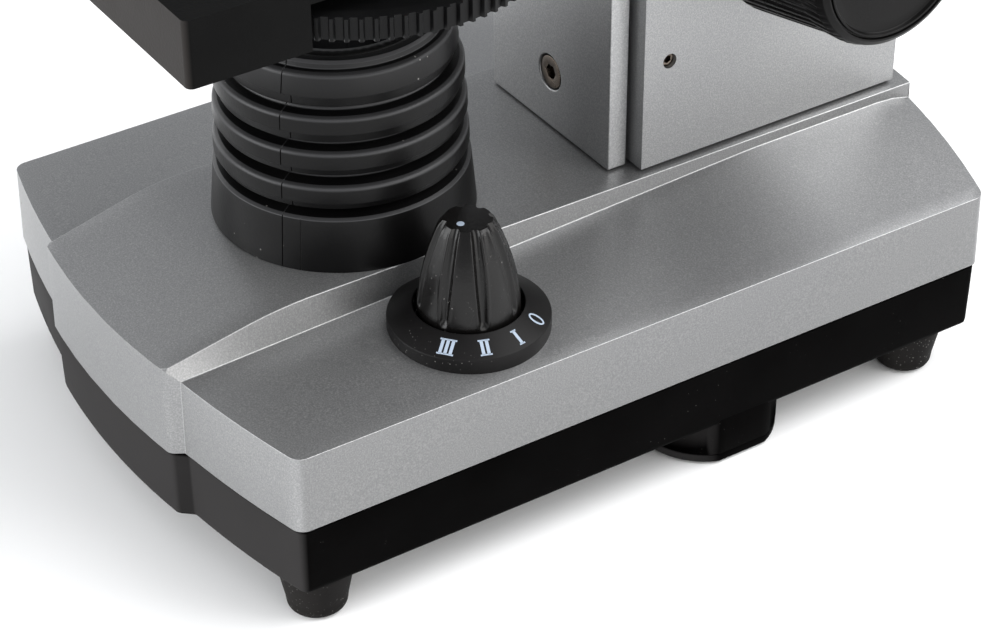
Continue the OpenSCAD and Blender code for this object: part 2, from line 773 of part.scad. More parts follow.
// A straight-flanked rack that meshes with the pinion; a gap faces the shaft at rest
module focus_rack() {
    teeth = floor((rack_span[1] - rack_span[0]) / tooth_pitch / 2);
    half = tooth_pitch / 4 - backlash / 4;
    add = 0.6 * tooth_module;
    ded = 1.05 * tooth_module;
    color("#b9953f") difference() {
        side_extrude(10) polygon(concat(
            [[rack_y - 2.96, rack_span[0]], [rack_y - ded, rack_span[0]]],
            [for (k = [-teeth:teeth - 1]) let (z = shaft_z + (k + 0.5) * tooth_pitch) each [
                [rack_y - ded, z - half - ded * tan(pressure)], [rack_y + add, z - half + add * tan(pressure)],
                [rack_y + add, z + half - add * tan(pressure)], [rack_y - ded, z + half + ded * tan(pressure)]]],
            [[rack_y - ded, rack_span[1] + 8], [rack_y - 2.96, rack_span[1] + 8]]));
    }
}

// ---------------------------------------------------------------- stage

stage_back = stage_front + stage_d;

module stage_bracket() {
    color("#2a2a2c") difference() {
        union() {
            block([-18, stage_back - 15, plate_z - 2.7], [18, slab_y - 0.02, plate_z - 0.02]);
            block([-18, stage_back + 0.4, stage_z + 0.4], [18, slab_y - 0.02, plate_z - 2.6]);
        }
        for (x = [-12, 12]) translate([x, stage_back - 8, stage_z]) cylinder(r = 1.7, h = 20);
    }
}

module rounded_plan(w, d, r) {
    for (x = [r, w - r], y = [r, d - r]) translate([x, y]) circle(r = r);
    translate([r, 0]) square([w - 2 * r, d]);
    translate([0, r]) square([w, d - 2 * r]);
}

module stage() {
    rim = 2.5;
    corner = 1.3;
    color("#1d1d1f") difference() {
        translate([-stage_w / 2, stage_front, stage_z]) linear_extrude(stage_h)
            rounded_plan(stage_w, stage_d, corner);
        translate([-stage_w / 2 + rim, stage_front + rim, stage_z - 1])
            linear_extrude(stage_h - plate_t + 1) rounded_plan(stage_w - 2 * rim, stage_d - 2 * rim, corner);
        on_axis() translate([0, 0, stage_z]) cylinder(r = aperture_r, h = 30);
        // the wheel's slot in the right-hand rim, and the bracket's notch in the back rim
        block([stage_w / 2 - rim - 1, -66.4, stage_z - 1], [stage_w / 2 - 1.1, -13.1, plate_z - 0.9]);
        block([stage_w / 2 - 1.2, -64.3, stage_z - 1], [stage_w, -15.2, plate_z - 0.9]);
        block([-18.4, stage_back - rim - 1, stage_z - 1], [18.4, stage_back + 1, plate_z]);
        translate([wheel_at[0], wheel_at[1], stage_z]) cylinder(r = 2.45, h = 30);
        for (s = [-1, 1]) translate([s * clip_at[0], clip_at[1] - 6, stage_z]) cylinder(r = 2.05, h = 30);
    }
}

function tooth(k, r) = let (a = 360 / wheel_teeth) [
    [r - 0.75, (k - 0.5) * a], [r - 0.75, (k - 0.24) * a], [r, (k - 0.12) * a], [r, (k + 0.12) * a], [r - 0.75, (k + 0.24) * a]];

module diaphragm_wheel() {
    color("#252526") translate([wheel_at[0], wheel_at[1], wheel_z]) difference() {
        linear_extrude(wheel_t)
            polygon([for (k = [0:wheel_teeth - 1]) for (p = tooth(k, wheel_r)) [p[0] * cos(p[1]), p[0] * sin(p[1])]]);
        translate([0, 0, -1]) ring(31, 6, 3);
        translate([0, 0, 3.6]) ring(31, 6, 3);
        translate([0, 0, -1]) cylinder(r = 2.4 + clear_run, h = 10);
        for (k = [0:5]) rotate(stop_angle + 60 * k) translate([stop_ring, 0, -1]) cylinder(r = stop_r[k], h = 10);
    }
}

module diaphragm_pivot() {
    color("#a5a5a8") translate([wheel_at[0], wheel_at[1], 0]) {
        translate([0, 0, wheel_z - 1.15]) cylinder(r = 2.4, h = stage_top - 0.6 - wheel_z + 1.15);
        translate([0, 0, wheel_z - 1.15]) cylinder(r = 4.6, h = 1.1);
    }
}

// Plan of a stage clip, from its pin towards the specimen
module clip_plan() {
    circle(r = 4.2);
    polygon([[-2.6, 3], [-4, -2], [-19.5, -24.5], [-16, -28], [-13.6, -25.6], [3.9, 1]]);
    translate([-16.6, -25.6]) circle(r = 3.2);
}

module clip() {
    difference() {
        union() {
            translate([0, 0, 0]) linear_extrude(0.8) clip_plan();
            translate([-16.6, -25.6, -0.75]) cylinder(r = 1.6, h = 1);
        }
        translate([0, 0, -1]) cylinder(r = 2 + clear_run, h = 4);
    }
}

module clip_right() {
    color("#c4c4c6") translate([clip_at[0], clip_at[1] - 6, clip_z]) clip();
}

module clip_left() {
    color("#c4c4c6") mirror([1, 0, 0]) translate([clip_at[0], clip_at[1] - 6, clip_z]) clip();
}

module clip_pins() {
    color("#b0b0b2") both_sides() translate([clip_at[0], clip_at[1] - 6, plate_z]) {
        cylinder(r = 2, h = 5.2);
        translate([0, 0, plate_t + 0.02]) cylinder(r = 3.2, h = clip_z - stage_top - 0.05);
        translate([0, 0, 4.9]) cylinder(r = 3.4, h = 2.4);
    }
}

// ---------------------------------------------------------------- nosepiece and objectives

module nosepiece_mount() {
    color("#bfbfc2") difference() {
        intersection() {
            at_nosepiece() translate([0, 0, turret_t + gap]) cylinder(r = 20.5, h = 60);
            on_axis() cylinder(r = arm_w / 2 - 1.5, h = beam_z - 0.02);
        }
        on_axis() translate([0, 0, shoulder_z - 5]) cylinder(r = 6, h = 60);
        at_nosepiece() cylinder(r = nose_bolt_r + 0.02, h = 11);
    }
}

module nosepiece_turret() {
    rim = 0.9;
    color("#cfcfd2") difference() {
        union() {
            at_nosepiece() rotate_extrude() polygon([[0, -1.5], [14, -1.5], [turret_r - 4, 0.6], [turret_r, 1],
                [turret_r, turret_t - rim], [turret_r - rim, turret_t], [0, turret_t]]);
            for (k = [0:2]) at_objective(k) cylinder(r = 11.6, h = 3);
        }
        for (k = [0:2]) at_objective(k) translate([0, 0, -3]) cylinder(r = 10.02, h = 20);
        at_nosepiece() translate([0, 0, -5]) cylinder(r = nose_bolt_r + clear_run, h = 30);
        at_nosepiece() translate([0, 0, -6]) cylinder(r = 5.4, h = 5.4);
        for (k = [0:2]) at_objective(k) translate([0, 0, -8]) cylinder(r = 12.2, h = 8);
        at_nosepiece() translate([0, 0, turret_t]) cylinder(r = 60, h = 20);
    }
}

module turret_screw() {
    color("#8f8f92") at_nosepiece() difference() {
        union() {
            translate([0, 0, -3]) cylinder(r = 5.2, h = 2.3);
            translate([0, 0, -1]) cylinder(r = nose_bolt_r, h = 10);
        }
        block([-6, -0.6, -4], [6, 0.6, -2]);
    }
}

// Half section of an objective hanging from its shoulder: thread, body, cone and nose
module objective(len, body_len, nose_r, color_name) {
    profile = [[6, 2], [9.9, 2], [9.9, -0.02], [12, -0.02], [12, -4], [11.2, -4.6], [11.2, -body_len],
               [10.4, -body_len - 0.8], [nose_r + 1.6, -len + 5.5], [nose_r + 0.8, -len + 0.6], [nose_r, -len], [3.02, -len],
               [3.02, -len + 6], [6, -len + 10]];
    color(color_name) rotate_extrude() polygon(profile);
}

module objective_4x() { at_objective(0) objective(27, 12, 6.2, "#d3d3d6"); }

module objective_10x() { at_objective(1) objective(38, 24, 4.6, "#d3d3d6"); }

// The 40x objective's lower end slides up into its body on a spring
tip_start = 26;

module objective_40x() {
    profile = [[8.55, 2], [9.9, 2], [9.9, -0.02], [12, -0.02], [12, -4], [11.2, -4.6],
               [11.2, -tip_start + 0.8], [10.4, -tip_start], [8.55, -tip_start]];
    color("#d3d3d6") at_objective(2) rotate_extrude() polygon(profile);
}

module objective_40x_tip() {
    len = 44.3;
    profile = [[6, -6], [8.5, -6], [8.5, -tip_start - 2], [9.6, -tip_start - 2.6], [9.6, -tip_start - 5],
               [4.2, -len + 2], [3.4, -len], [3.02, -len], [3.02, -len + 6], [6, -len + 12]];
    color("#c8c8cc") at_objective(2) rotate_extrude() polygon(profile);
}

module objective_lenses() {
    lens_depth = [[0, 27], [1, 38]];
    color([0.7, 0.8, 0.85, 0.6]) for (p = lens_depth) at_objective(p[0]) translate([0, 0, -p[1] + 0.4])
        intersection() {
            cylinder(r = 3, h = 2);
            translate([0, 0, 8]) sphere(r = 8);
        }
}

// ---------------------------------------------------------------- head and eyepiece

module head_collar() {
    color("#1b1b1d") on_axis() translate([0, 0, collar_z]) difference() {
        union() {
            cylinder(r = 23, h = collar_h);
            translate([0, 0, -5.9]) cylinder(r = 18.25, h = 6);
        }
        translate([0, 0, -8]) cylinder(r = 15 + clear_run, h = 20);
        translate([0, 0, collar_h / 2]) along_x() cylinder(r = 1.6, h = 40);
    }
}

module head_lock_screw() {
    color("#8f8f92") on_axis() translate([15.6, 0, collar_z + collar_h / 2]) along_x() {
        cylinder(r = 1.5, h = 9);
        translate([0, 0, 7.8]) cylinder(r = 2.3, h = 4.2);
    }
}

// Side view of the prism housing, with its sloping face square to the tube
module head_profile() {
    f = tube_start;
    face = [axis_y + f * sin(tube_tilt), prism_z + f * cos(tube_tilt)];
    half = 17;
    low = face + half * [cos(tube_tilt), -sin(tube_tilt)];
    high = face + half * [-cos(tube_tilt), sin(tube_tilt)];
    polygon([[axis_y - 23.5, head_z], [axis_y + 23.5, head_z], low, high, [high[0] - 4, high[1]],
             [axis_y - 23.5, head_z + 22]]);
}

module head() {
    color("silver") difference() {
        union() {
            intersection() {
                side_extrude(47) head_profile();
                linear_extrude(big) {
                    translate([0, axis_y]) circle(r = 23.5);
                    translate([-23.5, axis_y]) square([47, big]);
                }
            }
            on_axis() translate([0, 0, collar_z - 4]) cylinder(r = 15, h = head_z - collar_z + 5);
        }
        on_axis() translate([0, 0, collar_z - 10]) cylinder(r = 9, h = prism_z - collar_z + 3);
        block([-12, axis_y - 13, prism_z - 9], [12, axis_y + 12, prism_z + 12]);
        at_tube() cylinder(r = barrel_r + 0.6, h = 60);
    }
}

// A reflecting prism whose long face sends the light up the tube
module prism() {
    h = 9.6;
    color([0.8, 0.88, 0.92, 0.6]) side_extrude(22) translate([axis_y, prism_z]) polygon([
        [-h, -8.6], [h - 1, -8.6], [h - 1, 1], [1, h + 1], [-h, h - 2]]);
}

module eyepiece_tube() {
    color("#1b1b1d") at_tube() translate([0, 0, tube_start + 0.02]) difference() {
        union() {
            cylinder(r = tube_r, h = tube_len);
            cylinder(r = tube_r + 1.2, h = 3);
            translate([0, 0, tube_len - 4]) cylinder(r = tube_r + 0.7, h = 4);
        }
        translate([0, 0, -1]) cylinder(r = barrel_r + clear_run, h = tube_len + 2);
    }
}

module eyepiece() {
    rest_z = tube_start + tube_len + 0.1;
    r = 15;
    profile = [[10.4, -24], [barrel_r, -24], [barrel_r, 0], [r - 0.5, 0], [r, 0.6], [r, 9], [r - 0.8, 10],
               [r - 0.8, eyepiece_len - 3.5], [r - 2.6, eyepiece_len - 0.8], [r - 4, eyepiece_len],
               [7.5, eyepiece_len - 1.6], [7.02, eyepiece_len - 3], [7.02, eyepiece_len - 8], [10.4, eyepiece_len - 10]];
    color("#19191a") at_tube() translate([0, 0, rest_z]) rotate_extrude() polygon(profile);
}

module eyepiece_lenses() {
    rest_z = tube_start + tube_len + 0.1;
    color([0.75, 0.85, 0.9, 0.5]) at_tube() translate([0, 0, rest_z]) {
        translate([0, 0, eyepiece_len - 7.8]) intersection() {
            cylinder(r = 7, h = 4);
            translate([0, 0, 4 - 16]) sphere(r = 16);
        }
        translate([0, 0, -22]) intersection() {
            cylinder(r = 10.3, h = 4.6);
            translate([0, 0, 4.4 - 24]) sphere(r = 24);
        }
    }
}

// ---------------------------------------------------------------- upper lamp

module upper_lamp() {
    color("#1b1b1d") at_lamp() difference() {
        union() {
            translate([0, 0, -12]) cylinder(r = 7, h = 12.5);
            cylinder(r = 5, h = 12);
        }
        translate([0, 0, -13]) cylinder(r = 5.6, h = 7);
        translate([0, 0, -8]) cylinder(r = 2.6, h = 30);
    }
}

module upper_led() {
    color("#f5e9b0") at_lamp() {
        translate([0, 0, -8]) cylinder(r = 2.5, h = 6);
        translate([0, 0, -8]) sphere(r = 2.5);
    }
}

// ---------------------------------------------------------------- the pieces

base_cover();
base_pan();
feet();
base_screws();
battery_door();
batteries();
battery_contacts();
main_board();
power_jack();
light_tower();
lens_ring();
tower_lens();
lower_led_board();
lower_led();
dial_skirt();
rotary_switch();
switch_shaft();
switch_knob();
arm();
arm_gasket();
arm_screws();
arm_back_cover();
guide_rails();
gib_screws();
shaft_bushes();
focus_shaft();
focus_pinion();
focus_knob_left();
focus_knob_right();
focus_knob_caps();
stage_carriage();
carriage_screws();
focus_slider();
focus_rack();
stage_bracket();
stage();
diaphragm_wheel();
diaphragm_pivot();
clip_left();
clip_right();
clip_pins();
nosepiece_mount();
nosepiece_turret();
turret_screw();
objective_4x();
objective_10x();
objective_40x();
objective_40x_tip();
objective_lenses();
head_collar();
head_lock_screw();
head();
prism();
eyepiece_tube();
eyepiece();
eyepiece_lenses();
upper_lamp();
upper_led();
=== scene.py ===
import json
import math
import bmesh
import bpy
from mathutils import Matrix, Vector


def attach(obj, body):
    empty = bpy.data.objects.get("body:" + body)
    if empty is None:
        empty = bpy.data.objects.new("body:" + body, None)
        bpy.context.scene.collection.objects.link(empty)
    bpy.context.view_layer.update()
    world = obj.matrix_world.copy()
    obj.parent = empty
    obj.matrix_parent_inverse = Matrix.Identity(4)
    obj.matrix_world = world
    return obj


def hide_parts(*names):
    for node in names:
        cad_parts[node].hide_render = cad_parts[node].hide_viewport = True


# Shapes are given in millimetres and written in metres; the camera, floor and lights are in metres.
MM = 0.001
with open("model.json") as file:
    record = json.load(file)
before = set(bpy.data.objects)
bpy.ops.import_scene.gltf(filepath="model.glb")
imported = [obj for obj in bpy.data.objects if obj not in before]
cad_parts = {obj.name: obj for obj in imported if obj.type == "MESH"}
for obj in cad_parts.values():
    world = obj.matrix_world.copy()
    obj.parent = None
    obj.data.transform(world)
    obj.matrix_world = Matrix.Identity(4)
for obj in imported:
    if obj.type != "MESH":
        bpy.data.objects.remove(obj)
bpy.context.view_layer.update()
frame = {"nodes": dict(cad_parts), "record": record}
nodes = frame["nodes"]
scene = bpy.context.scene

# ------------------------------------------------------------------ camera
AZIMUTH, ELEVATION, ROLL = map(math.radians, (57.052, 35.539, -0.220))
CAMERA_AT = Vector((0.40312, -0.25901, 0.34967))
back = Vector((math.sin(AZIMUTH) * math.cos(ELEVATION), -math.cos(AZIMUTH) * math.cos(ELEVATION),
               math.sin(ELEVATION)))
level_right = Vector((math.cos(AZIMUTH), math.sin(AZIMUTH), 0))
level_up = back.cross(level_right)
right = level_right * math.cos(ROLL) + level_up * math.sin(ROLL)
up = level_up * math.cos(ROLL) - level_right * math.sin(ROLL)
cam_data = bpy.data.cameras.new("camera")
cam_data.lens = 99.80
cam_data.sensor_width = 36
cam_data.clip_start = 0.01
cam_data.clip_end = 20
cam = bpy.data.objects.new("camera", cam_data)
scene.collection.objects.link(cam)
cam.matrix_world = Matrix((
    (right.x, up.x, back.x, CAMERA_AT.x),
    (right.y, up.y, back.y, CAMERA_AT.y),
    (right.z, up.z, back.z, CAMERA_AT.z),
    (0, 0, 0, 1)))
scene.camera = cam
scene.view_settings.view_transform = "Standard"


# ------------------------------------------------------------------ shader helpers
def shader(name, color, rough, metal=0.0, coat=0.0, coat_rough=0.2, spec=0.5, trans=0.0):
    m = bpy.data.materials.new(name)
    m.use_nodes = True
    tree = m.node_tree
    b = tree.nodes["Principled BSDF"]
    b.inputs["Base Color"].default_value = (*color, 1)
    b.inputs["Roughness"].default_value = rough
    b.inputs["Metallic"].default_value = metal
    b.inputs["Coat Weight"].default_value = coat
    b.inputs["Coat Roughness"].default_value = coat_rough
    b.inputs["Specular IOR Level"].default_value = spec
    b.inputs["Transmission Weight"].default_value = trans
    b.inputs["IOR"].default_value = 1.5
    return m, tree, b


def add(tree, kind, **settings):
    n = tree.nodes.new(kind)
    for k, v in settings.items():
        setattr(n, k, v)
    return n


def object_coords(tree, scale=(1, 1, 1)):
    mapping = add(tree, "ShaderNodeMapping")
    mapping.inputs["Scale"].default_value = scale
    tree.links.new(add(tree, "ShaderNodeTexCoord").outputs["Object"], mapping.inputs["Vector"])
    return mapping.outputs["Vector"]


def facing(tree):
    """The direction that a face looks in, as outputs X, Y and Z."""
    parts = add(tree, "ShaderNodeSeparateXYZ")
    tree.links.new(add(tree, "ShaderNodeTexCoord").outputs["Normal"], parts.inputs[0])
    return parts.outputs


def noise(tree, vec, scale, detail=2.0, rough=0.5):
    n = add(tree, "ShaderNodeTexNoise")
    n.inputs["Scale"].default_value = scale
    n.inputs["Detail"].default_value = detail
    n.inputs["Roughness"].default_value = rough
    tree.links.new(vec, n.inputs["Vector"])
    return n.outputs["Fac"]


def ramp(tree, fac, stops):
    r = add(tree, "ShaderNodeValToRGB")
    elements = r.color_ramp.elements
    while len(elements) < len(stops):
        elements.new(0.5)
    for element, (pos, color) in zip(elements, stops):
        element.position = pos
        element.color = (*color, 1)
    tree.links.new(fac, r.inputs["Fac"])
    return r.outputs["Color"]


def mix(tree, a, b, fac, mode="MIX"):
    """Mixes two colours; each of a, b and fac is an output or a constant."""
    m = add(tree, "ShaderNodeMix", data_type="RGBA", blend_type=mode)
    for sock, v in ((m.inputs[0], fac), (m.inputs[6], a), (m.inputs[7], b)):
        if hasattr(v, "is_output"):
            tree.links.new(v, sock)
        else:
            sock.default_value = v if isinstance(v, (int, float)) else (*v, 1)
    return m.outputs[2]


def times(tree, a, b):
    m = add(tree, "ShaderNodeMath", operation="MULTIPLY")
    tree.links.new(a, m.inputs[0])
    tree.links.new(b, m.inputs[1])
    return m.outputs[0]


def maprange(tree, v, from_min, from_max, to_min, to_max):
    n = add(tree, "ShaderNodeMapRange")
    for i, x in enumerate((from_min, from_max, to_min, to_max), 1):
        n.inputs[i].default_value = x
    tree.links.new(v, n.inputs[0])
    return n.outputs[0]


def bump(tree, b, height, strength, distance):
    n = add(tree, "ShaderNodeBump")
    n.inputs["Strength"].default_value = strength
    n.inputs["Distance"].default_value = distance
    tree.links.new(height, n.inputs["Height"])
    tree.links.new(n.outputs["Normal"], b.inputs["Normal"])


def specks(tree, vec, scale, size):
    """Sparse round specks: 1 in the speck, 0 elsewhere."""
    v = add(tree, "ShaderNodeTexVoronoi", feature="F1")
    v.inputs["Scale"].default_value = scale
    tree.links.new(vec, v.inputs["Vector"])
    return maprange(tree, v.outputs["Distance"], size, size * 1.5, 1, 0)


# ------------------------------------------------------------------ materials
def silver(name="silver_paint", shade=0.65, rough=0.36, metal=0.72, right_painted_shading=1.0):
    """Metallic paint with flakes, clouds and dark specks; right_painted_shading scales the colour of faces
    turned to +X, which paints light or shade onto that side.
    """
    m, t, b = shader(name, (0.31, 0.313, 0.317), rough, metal=metal, coat=0.06, coat_rough=0.35)
    vec = object_coords(t)
    flake = noise(t, vec, 3400, 1.0)
    fine = noise(t, vec, 1700, 2.0, 0.6)
    cloud = noise(t, vec, 20, 3.0)
    tones = ((0.25, (0.40, 0.403, 0.410)), (0.5, (0.465, 0.468, 0.472)), (0.8, (0.60, 0.60, 0.595)))
    c = ramp(t, flake, [(pos, tuple(x * shade for x in tone)) for pos, tone in tones])
    fine_tone = ramp(t, fine, [(0.3, (0.90, 0.90, 0.905)), (0.7, (1.0, 1.0, 1.0))])
    c = mix(t, c, fine_tone, 0.7, "MULTIPLY")
    cloud_tone = ramp(t, cloud, [(0.35, (0.95, 0.95, 0.955)), (0.65, (1, 1, 0.995))])
    c = mix(t, c, cloud_tone, 0.8, "MULTIPLY")
    c = mix(t, c, (0.05, 0.045, 0.04), specks(t, vec, 62, 0.014))
    patches = maprange(t, noise(t, vec, 40, 1.0), 0.60, 0.66, 0, 0.75)
    c = mix(t, c, (0.10, 0.09, 0.08), times(t, specks(t, vec, 160, 0.028), patches))
    # painted light or shade: the colour of faces turned to +X is scaled by the side factor
    if right_painted_shading != 1.0:
        right_side_painted = mix(t, c, (right_painted_shading, right_painted_shading, right_painted_shading), 1.0, "MULTIPLY")
        c = mix(t, c, right_side_painted, maprange(t, facing(t)["X"], 0.80, 0.97, 0, 1))
    t.links.new(c, b.inputs["Base Color"])
    t.links.new(maprange(t, fine, 0.3, 0.7, rough - 0.04, rough + 0.06), b.inputs["Roughness"])
    bump(t, b, flake, 0.10, 0.00004)
    return m


def plastic(name, color, rough=0.38, dust=0.5, grain=0.12, spec=0.22, front=None, edge=None,
            speck_size=0.05, speck_scale=420, patch_limit=0.56):
    """Moulded plastic with patches of dust specks. front = tone of faces turned to -Y, a painted reflection;
    edge = tone of roundings that turn up, a painted highlight; a larger speck_scale gives finer specks, a
    lower patch_limit gives more of them."""
    m, t, b = shader(name, color, rough, spec=spec)
    vec = object_coords(t)
    wide = noise(t, vec, 35, 4.0, 0.6)
    fine = noise(t, vec, 1500, 2.0)
    c = ramp(t, wide, [(0.35, color), (0.7, tuple(x * 1.35 + 0.001 for x in color))])
    if front:
        # painted reflection: faces turned to the front get a paler colour
        front_painted_reflection = ramp(t, wide, [(0.3, tuple(x * 0.85 for x in front)), (0.7, front)])
        c = mix(t, c, front_painted_reflection, maprange(t, facing(t)["Y"], -0.25, -0.9, 0, 1))
    if edge:
        # painted highlight: paler roundings where a face turns up
        turn = facing(t)["Z"]
        band = times(t, maprange(t, turn, 0.12, 0.50, 0, 1), maprange(t, turn, 0.97, 0.75, 0, 1))
        c = mix(t, c, edge, band)
    if dust:
        near = noise(t, vec, 55, 2.0)
        patches = maprange(t, near, patch_limit, patch_limit + 0.16, 0, dust)
        c = mix(t, c, (0.42, 0.41, 0.39), times(t, specks(t, vec, speck_scale, speck_size), patches))
    t.links.new(c, b.inputs["Base Color"])
    t.links.new(maprange(t, wide, 0.3, 0.7, rough - 0.06, rough + 0.08), b.inputs["Roughness"])
    bump(t, b, fine, grain, 0.00005)
    return m


def metal(name, color, rough=0.28, lines=None, wear=0.1):
    """Bare or plated metal; lines = scale of the turning or brushing lines along each axis."""
    m, t, b = shader(name, color, rough, metal=1.0)
    n = noise(t, object_coords(t, lines or (1, 1, 1)), 900 if lines else 260, 3.0)
    w = noise(t, object_coords(t), 60, 4.0)
    c = ramp(t, n, [(0.3, tuple(x * (1 - wear) for x in color)), (0.7, color)])
    c = mix(t, c, ramp(t, w, [(0.35, (0.86, 0.86, 0.86)), (0.65, (1, 1, 1))]), 0.7, "MULTIPLY")
    t.links.new(c, b.inputs["Base Color"])
    t.links.new(maprange(t, w, 0.3, 0.7, rough - 0.05, rough + 0.1), b.inputs["Roughness"])
    bump(t, b, n, 0.06, 0.00005)
    return m


def glass(name, color):
    m, t, b = shader(name, color, 0.03, coat=0.3, trans=0.9)
    haze = noise(t, object_coords(t), 120, 3.0)
    t.links.new(maprange(t, haze, 0.4, 0.8, 0.02, 0.10), b.inputs["Roughness"])
    return m


SILVER = silver()
# copies of the silver with painted shade (base) or painted light (slab, arm) on faces turned to +X
SILVER_BASE_RIGHT_SHADED = silver("silver_base_right_shaded", right_painted_shading=0.74)
SILVER_SLAB_RIGHT_LIT = silver("silver_slab_right_lit", right_painted_shading=1.38)
SILVER_ARM_RIGHT_LIT = silver("silver_arm_right_lit", right_painted_shading=1.06)
# brighter silver for the highlighted edge bevels of the cover: a painted highlight
SILVER_EDGE_HIGHLIGHT = silver("silver_edge_highlight", 0.86, 0.34, 0.5)
# pan_plastic: faces turned to -Y get a paler colour, a painted reflection
PAN = plastic("pan_plastic", (0.0010, 0.0009, 0.0009), 0.44, dust=0.30, grain=0.2, spec=0.008,
              front=(0.037, 0.0355, 0.0355), speck_scale=800)
BLACK = plastic("black_plastic", (0.0024, 0.0023, 0.0024), 0.35, dust=0.7, grain=0.45, spec=0.20,
                speck_size=0.06)
# tower_plastic: roundings that turn up get a paler colour, a painted highlight
TOWER = plastic("tower_plastic", (0.0020, 0.0019, 0.0020), 0.34, dust=0.7, grain=0.45, spec=0.18,
                edge=(0.050, 0.050, 0.052), speck_size=0.06)
DIAL = plastic("dial_plastic", (0.0050, 0.0047, 0.0048), 0.40, dust=0.6, spec=0.13,
               speck_size=0.09, speck_scale=1100)
KNOB = plastic("knob_plastic", (0.0026, 0.0023, 0.0022), 0.24, dust=0.45, grain=0.3, spec=0.30,
               speck_size=0.09, speck_scale=900, patch_limit=0.5)
# stage_paint: faces turned to -Y get a paler colour, a painted reflection
STAGE = plastic("stage_paint", (0.0022, 0.0022, 0.0022), 0.42, dust=0.35, grain=0.5, spec=0.05,
                front=(0.029, 0.0262, 0.0248))
FOCUS = plastic("focus_plastic", (0.0034, 0.0032, 0.0032), 0.30, dust=0.4, grain=0.2, spec=0.11)
WHEEL = plastic("wheel_plastic", (0.0032, 0.0032, 0.0034), 0.36, dust=0.2, grain=0.2, spec=0.14)
# rubber: faces turned to -Y get a paler colour, a painted reflection
RUBBER = plastic("rubber", (0.0055, 0.0050, 0.0048), 0.60, dust=0.45, grain=0.6, spec=0.06,
                 front=(0.016, 0.0148, 0.014), speck_size=0.12, speck_scale=1300, patch_limit=0.36)
GASKET = plastic("gasket", (0.004, 0.004, 0.004), 0.7, dust=0, spec=0.1)
SMOKED = plastic("smoked_lens", (0.010, 0.010, 0.011), 0.22, dust=0.2, grain=0.05, spec=0.12)
MARK_PAINT = plastic("mark_paint", (0.27, 0.32, 0.39), 0.5, dust=0, grain=0.3, spec=0.3)
BOARD = plastic("circuit", (0.02, 0.17, 0.06), 0.35, dust=0)
WHITE_BOARD = plastic("white_board", (0.75, 0.75, 0.72), 0.4, dust=0)
WRAP = plastic("cell_wrap", (0.55, 0.28, 0.05), 0.3, dust=0)
LED = plastic("led", (0.85, 0.72, 0.30), 0.3, dust=0)
STEEL = metal("steel", (0.62, 0.61, 0.60), 0.24, lines=(1, 1, 6))
ZINC = metal("zinc", (0.50, 0.49, 0.47), 0.34)
BOLT = metal("bolt", (0.20, 0.165, 0.135), 0.24, wear=0.35)
BRASS = metal("brass", (0.72, 0.53, 0.24), 0.28, lines=(6, 1, 1))
CHROME = metal("chrome", (0.50, 0.50, 0.51), 0.17, wear=0.06)
ALU = metal("aluminium", (0.66, 0.665, 0.67), 0.36, lines=(1, 1, 5))
GLASS = glass("lens", (0.9, 0.96, 0.98))
BY_SLOT = {"silver_paint": SILVER, "black_plastic": BLACK, "knob_plastic": KNOB, "rubber": RUBBER,
           "steel": STEEL, "zinc": ZINC, "brass": BRASS, "chrome": CHROME, "aluminium": ALU,
           "cell_wrap": WRAP, "nickel": STEEL, "circuit": BOARD, "white_board": WHITE_BOARD,
           "lens": GLASS, "led": LED, "gasket": GASKET}
slot_of = {s["node"]: s["material_slot"] for s in frame["record"]["subparts"]}
body_of = {n: b for b, ns in frame["record"]["behaviour"]["bodies"].items() for n in ns}


# ------------------------------------------------------------------ mesh helpers
def link(name, me, mat):
    """Puts a mesh into the scene with one material and smooth faces."""
    o = bpy.data.objects.new(name, me)
    scene.collection.objects.link(o)
    me.materials.append(mat)
    for p in me.polygons:
        p.use_smooth = True
    return o


def obj_from(name, verts, faces, mat):
    me = bpy.data.meshes.new(name)
    me.from_pydata([tuple(c * MM for c in v) for v in verts], [], faces)
    me.validate()
    return link(name, me, mat)


def tidy_mesh(o, merge=0.0005):
    """Merges points closer than merge and turns the faces outwards."""
    bm = bmesh.new()
    bm.from_mesh(o.data)
    bmesh.ops.remove_doubles(bm, verts=bm.verts, dist=merge * MM)
    bmesh.ops.recalc_face_normals(bm, faces=bm.faces)
    bm.to_mesh(o.data)
    bm.free()
    return o


def bevel(o, width, segments, angle, harden=True):
    b = o.modifiers.new("edges", "BEVEL")
    b.width = width * MM
    b.segments = segments
    b.limit_method = "ANGLE"
    b.angle_limit = math.radians(angle)
    b.harden_normals = harden
    b.miter_outer = "MITER_ARC"
    return b


def place(o, node_or_body, *replaced, slot=None):
    """Lets a piece ride on a body and hides the nodes that it replaces; the material slot is worked out but
    not used.
    """
    body = body_of.get(node_or_body, node_or_body)
    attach(o, body)
    if replaced:
        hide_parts(*replaced)
        slot = slot or slot_of[replaced[0]]


def fillet(profile, radii, steps=4):
    """Rounds the corners of an open polyline; radii holds a radius for each point, 0 for sharp."""
    out = []
    for i, p in enumerate(profile):
        r = radii[i] if i < len(radii) else 0
        if r <= 0 or i in (0, len(profile) - 1):
            out.append(p)
            continue
        a, b, c = (Vector(profile[i - 1]), Vector(p), Vector(profile[i + 1]))
        u, v = (a - b), (c - b)
        angle = u.angle(v)
        if angle > math.pi - 0.01:
            out.append(p)
            continue
        cut = min(r / math.tan(angle / 2), u.length * 0.49, v.length * 0.49)
        start, end = b + u / u.length * cut, b + v / v.length * cut
        for k in range(steps + 1):
            w = k / steps
            q = start * (1 - w) ** 2 + b * 2 * w * (1 - w) + end * w ** 2
            out.append((q.x, q.y))
    return out


